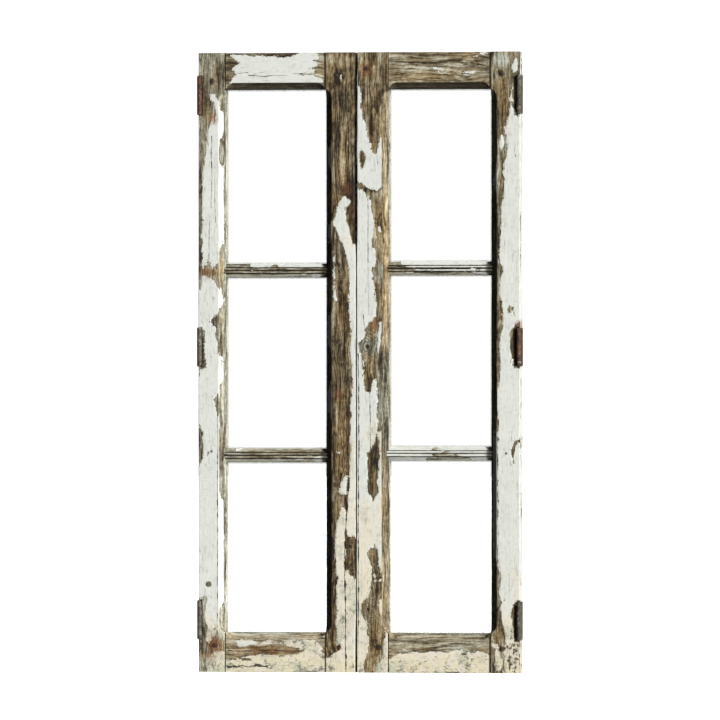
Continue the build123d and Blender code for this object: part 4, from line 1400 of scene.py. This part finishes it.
def weathered_look(name, upright):
    """Grey split softwood under what is left of several coats of white oil paint."""
    look = Look(name)
    at = look.place()

    def lengthwise(coords, share):
        """Coordinates in which patterns come out longer along the member by one over share."""
        return look.stretch(coords, (1, 1, share) if upright else (share, 1, 1))

    def along_grain(share):
        return lengthwise(at, share)

    bent = look.warp(along_grain(GRAIN_DRAW), 46.0, 24.0)

    def along_bent(share):
        return lengthwise(bent, share / GRAIN_DRAW)

    def swing(value, amount, added=0.0):
        """value, which lies about 0.5, as a swing of that many times about zero."""
        return look.times_plus(look.maths("SUBTRACT", value, 0.5), amount, added)

    grain = along_bent(0.08)
    paint = look.value("paint")
    knot = look.value("knot")
    # wood: growth rings as contours of a stretched noise, then fibres, streaks and open checks
    bend = look.step(knot, 0.2, 2.2, 26.0, 0.0)
    rings = look.noise(along_bent(0.045), 22.0, 1.0, 0.6)
    rings = look.times_plus(rings, 60.0, bend)
    rings = look.maths("SINE", rings)
    fibres = look.noise(grain, 1.5, 4.0, 0.3, 0.7)
    streaks = look.noise(along_bent(0.07), 6.0, 3.0, 0.6, 0.6)
    mottle = look.noise(at, 7.0, 4.0, 0.3, 0.65)
    shade = look.maths("ADD", look.value("tone"), 0.50)
    shade = swing(fibres, 1.15, shade)
    shade = swing(streaks, 1.55, shade)
    shade = swing(mottle, 0.9, shade)
    shade = swing(look.noise(along_grain(0.5), 26.0, 2.0), 0.7, shade)
    shade = look.times_plus(rings, 0.12, shade)
    stops = [(0.0, BLACK_WOOD), (0.22, DARK_WOOD), (0.46, BROWN_WOOD), (0.72, GREY_WOOD), (1.0, PALE_WOOD)]
    wood = look.ramp(shade, stops)
    warmth = swing(look.noise(along_grain(0.3), 24.0, 3.0), 2.0, look.value("warm"))
    warm = look.mix(1.0, wood, WARM_TINT, "MULTIPLY")
    cool = look.mix(1.0, wood, COOL_TINT, "MULTIPLY")
    warmth = look.times(look.step(warmth, -1.0, 1.0), look.step(shade, 0.45, 1.0, 1.0, 0.35))
    wood = look.mix(warmth, cool, warm)
    checks = look.noise(along_bent(0.05), 4.6, 2.0, 0.5)
    checks = look.near_half(checks, 0.004, 0.030)
    checks = look.times(checks, look.step(streaks, 0.36, 0.56, 1.0, 0.15))
    wood = look.mix(look.times(checks, 0.85), wood, BLACK_WOOD)
    whorl = look.maths("SINE", swing(mottle, 16.0, look.times(knot, 15.0)))
    whorl = look.step(whorl, -0.2, 0.9, 0.0, 0.7)
    whorl = look.times(whorl, look.step(knot, 0.75, 1.15, 1.0, 0.0))
    wood = look.mix(whorl, wood, DARK_WOOD)
    wood = look.mix(look.step(knot, 0.18, 0.38, 0.9, 0.0), wood, BLACK_WOOD)
    # the ragged line where the paint ends
    frayed = look.warp(at, 5.0, 5.0)
    wide_chips = look.chips(lengthwise(frayed, 0.5), 5.5)
    small_chips = look.chips(frayed, 2.3)
    tear = swing(look.noise(along_grain(0.55), 7.5, 4.0, 0.6, 0.75), 7.0, paint)
    jagged = look.step(look.noise(at, 24.0, 2.0), 0.38, 0.60, 1.5, 6.5)
    tear = look.times_plus(look.maths("SUBTRACT", wide_chips, 0.5), jagged, tear)
    tear = swing(small_chips, 3.2, tear)
    clouds = look.noise(at, 55.0, 4.0, 0.3)
    hue = swing(clouds, 1.0, look.value("cream"))
    flecks = look.noise(along_grain(0.5), 3.8, 3.0, 0.5, 0.7)
    flecks = look.step(look.times_plus(hue, 0.045, flecks), 0.675, 0.72, 0.0, 1.0)
    flecks = look.times(flecks, look.step(look.noise(at, 45.0, 2.0), 0.46, 0.60))
    tear = look.times_plus(flecks, look.step(paint, 0.0, 14.0, -4.0, -15.0), tear)
    top_coat = look.step(tear, 0.0, 0.16)
    undercoat_gate = look.noise(at, 16.0, 2.0)
    undercoat = look.step(tear, -0.85, -0.65)
    undercoat = look.times(undercoat, look.step(undercoat_gate, 0.46, 0.56))
    # A near-black band just outside the paint's edge: dirt, and the painted shadow of the paint's
    # thickness.
    rim = look.step(tear, -2.2, -0.4)
    rim = look.times(rim, look.step(undercoat_gate, 0.44, 0.56, 0.85, 0.15))
    # paint: cool white to cream, with dirt in its brush marks, smudges and hairline splits
    coat = look.mix(look.step(hue, 0.10, 0.62), COOL_PAINT, CREAM_PAINT)
    coat = look.mix(look.step(hue, 0.65, 1.15), coat, YELLOW_PAINT)
    blush = look.step(look.noise(at, 19.0, 3.0, 0.4), 0.50, 0.62)
    coat = look.mix(look.times(blush, look.step(hue, 0.2, 0.7, 0.0, 0.8)), coat, PINK_PAINT)
    straw = look.step(look.noise(at, 12.0, 4.0, 0.6, 0.65), 0.56, 0.68)
    coat = look.mix(look.times(straw, look.step(hue, 0.35, 0.9, 0.0, 0.72)), coat, STRAW_STAIN)
    grub = look.step(look.noise(at, 4.2, 4.0, 0.8, 0.75), 0.53, 0.66)
    grub = look.times(grub, look.step(look.noise(at, 34.0, 3.0), 0.46, 0.60))
    coat = look.mix(look.times(grub, look.step(hue, 0.3, 0.8, 0.0, 0.75)), coat, MOULD)
    stain = look.step(look.noise(at, 26.0, 4.0, 0.5), 0.48, 0.66, 0.0, 0.70)
    stain = look.times(stain, look.step(hue, 0.1, 0.7, 0.15, 1.0))
    coat = look.mix(stain, coat, GREEN_STAIN)
    brush = look.noise(along_grain(0.07), 1.7, 3.0)
    coat = look.mix(look.step(brush, 0.50, 0.80, 0.0, 0.40), coat, DIRT)
    smudge = look.noise(at, 9.0, 5.0, 0.3, 0.7)
    coat = look.mix(look.step(smudge, 0.50, 0.74, 0.0, 0.34), coat, DIRT)
    hair = look.noise(along_grain(0.05), 5.5, 3.0, 0.6)
    hair = look.near_half(hair, 0.0, 0.010)
    hair = look.times(hair, look.step(look.noise(at, 30.0, 2.0), 0.47, 0.58))
    coat = look.mix(look.times(hair, 0.65), coat, DARK_WOOD)
    crazed = look.warp(along_grain(0.6), 7.0, 8.0)
    crazing = look.cells(crazed, 7.5, "DISTANCE_TO_EDGE")
    gaping = look.step(look.noise(at, 26.0, 4.0, 0.6, 0.6), 0.44, 0.66, 0.02, 0.25)
    crazing = look.step(look.maths("DIVIDE", crazing, gaping), 0.35, 1.0, 1.0, 0.0)
    crazing = look.times(crazing, look.step(hue, 0.25, 0.85, 0.0, 0.72))
    crazing = look.times(crazing, look.step(smudge, 0.43, 0.60))
    coat = look.mix(crazing, coat, look.mix(straw, DARK_WOOD, BROWN_WOOD))
    specks = look.step(look.noise(at, 1.9, 2.0, 0.0, 0.8), 0.70, 0.76, 0.0, 0.65)
    coat = look.mix(specks, coat, DARK_WOOD)
    coat = look.mix(look.step(tear, 0.15, 1.3, 0.55, 0.0), coat, RIM_PAINT)
    # the layers together
    under = look.mix(look.step(fibres, 0.44, 0.60, 0.0, 0.8), OLD_COAT, wood)
    colour = look.mix(rim, wood, BLACK_WOOD)
    colour = look.mix(undercoat, colour, under)
    colour = look.mix(top_coat, colour, coat)
    split = 0.0
    wobble = look.noise(at, 3.0, 3.0)
    pinch = look.step(look.noise(at, 13.0, 3.0), 0.36, 0.62, 2.1, 0.55)
    for slot in range(SPLIT_SLOTS):
        edge = swing(wobble, 2.4, look.value(f"split_{slot + 1}"))
        edge = look.times(look.maths("ABSOLUTE", edge), pinch)
        line = look.step(edge, 0.5, 1.2, 1.0, 0.0)
        split = look.maths("MAXIMUM", split, line)
    colour = look.mix(look.times(split, 0.93), colour, BLACK_WOOD)
    rust = look.times(look.value("rust"), look.step(look.noise(at, 4.0, 5.0, 0.4, 0.7), 0.34, 0.60))
    colour = look.mix(rust, colour, RUST_STAIN)
    # Painted shade and painted shadow: hollows, open joints and the bars' right ends darkened towards
    # near-black.
    colour = look.mix(look.value("soot"), colour, PAINTED_SHADE_BLACK)
    # relief in mm
    wood_height = look.times_plus(rings, 0.10, look.times(fibres, 0.9))
    wood_height = look.times_plus(checks, -0.8, wood_height)
    coat_height = look.times_plus(look.noise(at, 2.6, 3.0), 0.30, 0.95)
    coat_height = look.times_plus(hair, -0.3, coat_height)
    coat_height = look.times_plus(crazing, -0.5, coat_height)
    coat_height = look.times_plus(brush, 0.25, coat_height)
    height = look.blend(top_coat, wood_height, coat_height)
    height = look.times_plus(split, -1.2, height)
    roughness = look.blend(top_coat, 0.92, look.step(clouds, 0.3, 0.7, 0.50, 0.68))
    return look.finish(colour, roughness, look.bump(height, 0.9), specular=0.35)


def bare_wood_look():
    """Dark end-grain wood for the tenons' wedges and the plug."""
    look = Look("wedge_wood")
    at = look.place()
    grain = look.stretch(at, (0.08, 1, 1))
    fibres = look.noise(grain, 1.2, 4.0, 0.2, 0.65)
    pores = look.cells(look.stretch(at, (1, 1, 0.6)), 1.1)
    colour = look.ramp(fibres, [(0.3, DARK_WOOD), (0.5, BROWN_WOOD), (0.75, GREY_WOOD)])
    colour = look.mix(look.step(pores, 0.0, 0.3, 0.6, 0.0), colour, DARK_WOOD)
    return look.finish(colour, 0.92, look.bump(fibres, 0.8), specular=0.3)


def iron_look(name, tones, paint, painted):
    """Old iron: tones run from its pits to its crust, and painted is how much old paint is left."""
    look = Look(name)
    at = look.place()
    broad = look.noise(at, 9.0, 4.0, 0.5, 0.6)
    fine = look.noise(at, 1.6, 4.0, 0.0, 0.7)
    places = (0.30, 0.46, 0.58, 0.76)
    colour = look.ramp(broad, list(zip(places, tones)))
    colour = look.mix(look.step(fine, 0.50, 0.68, 0.0, 0.8), colour, tones[0])
    scale = look.step(look.noise(at, 4.0, 3.0), painted, painted + 0.05)
    colour = look.mix(look.times(scale, 0.8), colour, paint)
    height = look.times_plus(fine, 0.6, look.times(scale, 0.25))
    metal = look.step(fine, 0.35, 0.50, 0.45, 0.08)
    roughness = look.step(fine, 0.3, 0.7, 0.65, 0.92)
    return look.finish(colour, roughness, look.bump(height, 0.9), metallic=metal)


def sprig_look():
    """Dull steel for the glaziers' sprigs."""
    look = Look("dull_steel")
    at = look.place()
    fine = look.noise(at, 0.8, 4.0)
    colour = look.ramp(fine, [(0.35, (0.10, 0.085, 0.075)), (0.65, (0.30, 0.29, 0.28))])
    return look.finish(colour, look.step(fine, 0.3, 0.7, 0.45, 0.75), look.bump(fine, 0.4), 0.8)


def putty_look():
    """Hard grey linseed putty, cracked across and chipped."""
    look = Look("old_putty")
    at = look.place()
    clouds = look.noise(at, 14.0, 4.0, 0.3)
    colour = look.ramp(clouds, [(0.30, DULL_PUTTY), (0.50, PUTTY_GREY), (0.75, PALE_PUTTY)])
    cracks = look.cells(at, 11.0, "DISTANCE_TO_EDGE")
    cracks = look.step(cracks, 0.0, 0.05, 1.0, 0.0)
    colour = look.mix(look.times(cracks, 0.8), colour, PUTTY_CRACK)
    colour = look.mix(look.value("chip"), colour, CHIPPED_PUTTY)
    fine = look.noise(at, 1.3, 3.0)
    height = look.times_plus(cracks, -0.5, look.times(fine, 0.3))
    return look.finish(colour, 0.85, look.bump(height, 0.8), specular=0.3)


def glass_look():
    """Clear glass that lets light straight through, mirrors a little, and is dusty at its rim."""
    look = Look("window_glass")
    at = look.place()
    clear = look.node("ShaderNodeBsdfTransparent", {"Color": GLASS_TINT})
    shine = look.node("ShaderNodeBsdfGlossy", {"Color": WHITE, "Roughness": 0.03})
    dust = look.node("ShaderNodeBsdfDiffuse", {"Color": GLASS_DUST})
    edge = look.node("ShaderNodeFresnel", {"IOR": 1.5}).outputs[0]
    gloss = look.times(edge, 0.5)
    sheet = look.node("ShaderNodeMixShader", {0: gloss, 1: clear.outputs[0], 2: shine.outputs[0]})
    specks = look.step(look.noise(at, 2.2, 4.0, 0.0, 0.7), 0.42, 0.62, 0.35, 1.0)
    amount = look.times(look.value("grime"), specks)
    amount = look.maths("MULTIPLY", amount, 0.8, clamp=True)
    whole = look.node("ShaderNodeMixShader", {0: amount, 1: sheet.outputs[0], 2: dust.outputs[0]})
    look.tree.links.new(whole.outputs[0], look.out.inputs["Surface"])
    return look.material


# ==== the model ====

STANDING = weathered_look("weathered_upright", True)
LYING = weathered_look("weathered_level", False)
RUST_TONES = [(0.012, 0.008, 0.006), (0.045, 0.022, 0.013), (0.105, 0.045, 0.022), (0.19, 0.085, 0.042)]
GREY_TONES = [(0.020, 0.017, 0.013), (0.060, 0.052, 0.038), (0.120, 0.108, 0.080), (0.20, 0.185, 0.145)]
RUST = iron_look("rusty_iron", RUST_TONES, (0.42, 0.40, 0.33), 0.64)
GREY_IRON = iron_look("weathered_iron", GREY_TONES, (0.30, 0.285, 0.235), 0.62)
NAIL_TONES = [(0.006, 0.005, 0.004), (0.020, 0.012, 0.009), (0.045, 0.022, 0.014), (0.09, 0.040, 0.022)]
NAIL_IRON = iron_look("nail_iron", NAIL_TONES, (0.2, 0.18, 0.15), 0.75)
WEDGE = bare_wood_look()
SPRIG = sprig_look()
PUTTY = putty_look()
GLASS = glass_look()

seed = 100
for side in ("left", "right"):
    for part in ("hinge_stile", "meeting_stile", "top_rail", "bottom_rail"):
        seed += 100
        upright = "stile" in part
        build_member(f"{side}_{part}", upright, seed, STANDING if upright else LYING)
    for level in ("upper", "lower"):
        seed += 100
        build_bar(f"{side}_{level}_glazing_bar", seed, LYING)
    for level in ("top", "middle", "bottom"):
        seed += 100
        build_putty(side, level, seed, PUTTY)
        build_pane(side, level, seed + 50, GLASS)

# the hinges that show bright rust; the others are grey under old paint and dirt
RUSTIEST = ("left_top", "right_middle")


def carried_material(name):
    """The material of a CAD node that is shown as it is."""
    if any(word in name for word in ("wedges", "plug")):
        return WEDGE
    if "sprigs" in name:
        return SPRIG
    if "hinge" in name and "screws" not in name:
        return RUST if name.startswith(RUSTIEST) else GREY_IRON
    if "nails" in name:
        return NAIL_IRON
    return RUST


for name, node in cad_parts.items():
    if name.endswith(("_hinge", "_pin", "_screws", "_nails", "_sprigs", "_wedges", "_plug")):
        node.data.materials.clear()
        node.data.materials.append(carried_material(name))


# ==== floor, light and camera ====

# The ground's reach in metres, and its glow, which makes it white. BACKDROP is how bright the
# world is to the camera, and FILL how much light it throws on the window.
FLOOR_REACH = 30.0
FLOOR_GLOW = 0.93
BACKDROP = 1.12
FILL = 0.07
FILL_COLOUR = (0.94, 0.98, 1.0, 1)
# The suns: name, strength, colour, and the azimuth, elevation and spread in degrees.
SUNS = [
    ("key", 5.4, (1.0, 0.985, 0.955), 56.0, 25.0, 3.0),
    ("bounce", 1.9, (1.0, 0.98, 0.94), 48.0, -22.0, 14.0),
    ("rear", 3.0, (0.95, 0.98, 1.0), 180.0, 34.0, 12.0),
]
# The camera: degrees round to the right, and in metres its distance, the height that fills the
# picture, and how far above the window's middle it aims.
CAMERA_AZIMUTH = 8.4
CAMERA_DISTANCE = 18.0
VIEW_HEIGHT = 1.44
AIM_RISE = 0.005


def build_stage():
    """A white ground that neither shades nor tints the window, and a white backdrop."""
    mesh = bpy.data.meshes.new("floor")
    corners = [(-1, -1), (1, -1), (1, 1), (-1, 1)]
    corners = [(x * FLOOR_REACH, y * FLOOR_REACH, 0) for x, y in corners]
    mesh.from_pydata(corners, [], [(0, 1, 2, 3)])
    floor = bpy.data.objects.new("floor", mesh)
    bpy.context.collection.objects.link(floor)
    look = Look("pale_floor")
    paint = look.node("ShaderNodeBsdfDiffuse", {"Color": (0.9, 0.9, 0.9, 1)})
    glow = look.node("ShaderNodeEmission", {"Color": WHITE, "Strength": FLOOR_GLOW})
    both = look.node("ShaderNodeAddShader", {0: paint.outputs[0], 1: glow.outputs[0]})
    look.tree.links.new(both.outputs[0], look.out.inputs["Surface"])
    mesh.materials.append(look.material)
    floor.visible_diffuse = False
    floor.visible_glossy = False
    floor.visible_shadow = False
    world = bpy.data.worlds.new("studio")
    bpy.context.scene.world = world
    world.use_nodes = True
    nodes = world.node_tree.nodes
    nodes.clear()
    out = nodes.new("ShaderNodeOutputWorld")
    seen = nodes.new("ShaderNodeBackground")
    seen.inputs["Color"].default_value = WHITE
    seen.inputs["Strength"].default_value = BACKDROP
    fill = nodes.new("ShaderNodeBackground")
    fill.inputs["Color"].default_value = FILL_COLOUR
    fill.inputs["Strength"].default_value = FILL
    path = nodes.new("ShaderNodeLightPath")
    pick = nodes.new("ShaderNodeMixShader")
    links = world.node_tree.links
    links.new(path.outputs["Is Camera Ray"], pick.inputs[0])
    links.new(fill.outputs[0], pick.inputs[1])
    links.new(seen.outputs[0], pick.inputs[2])
    links.new(pick.outputs[0], out.inputs[0])


def build_sun(name, strength, colour, azimuth, elevation, spread):
    """A distant soft light; azimuth 0 is in front of the window and turns to its right."""
    light = bpy.data.lights.new(name, "SUN")
    light.energy = strength
    light.angle = math.radians(spread)
    light.color = colour
    lamp = bpy.data.objects.new(name, light)
    bpy.context.collection.objects.link(lamp)
    turn, rise = math.radians(azimuth), math.radians(elevation)
    level = math.cos(rise)
    towards = Vector((math.sin(turn) * level, -math.cos(turn) * level, math.sin(rise)))
    lamp.rotation_euler = towards.to_track_quat("Z", "Y").to_euler()


def build_camera():
    """A long lens a little to the right of straight on."""
    camera = bpy.data.cameras.new("camera")
    camera.sensor_width = 36.0
    camera.lens = camera.sensor_width * CAMERA_DISTANCE / VIEW_HEIGHT
    camera.clip_end = 200.0
    stand = bpy.data.objects.new("camera", camera)
    bpy.context.collection.objects.link(stand)
    azimuth = math.radians(CAMERA_AZIMUTH)
    middle = Vector((0.0, 0.0, HEIGHT * MM / 2 + AIM_RISE))
    stand.location = middle + Vector((math.sin(azimuth), -math.cos(azimuth), 0)) * CAMERA_DISTANCE
    stand.rotation_euler = (stand.location - middle).to_track_quat("Z", "Y").to_euler()
    bpy.context.scene.camera = stand


build_stage()
for sun in SUNS:
    build_sun(*sun)
build_camera()
bpy.context.scene.view_settings.view_transform = "Standard"
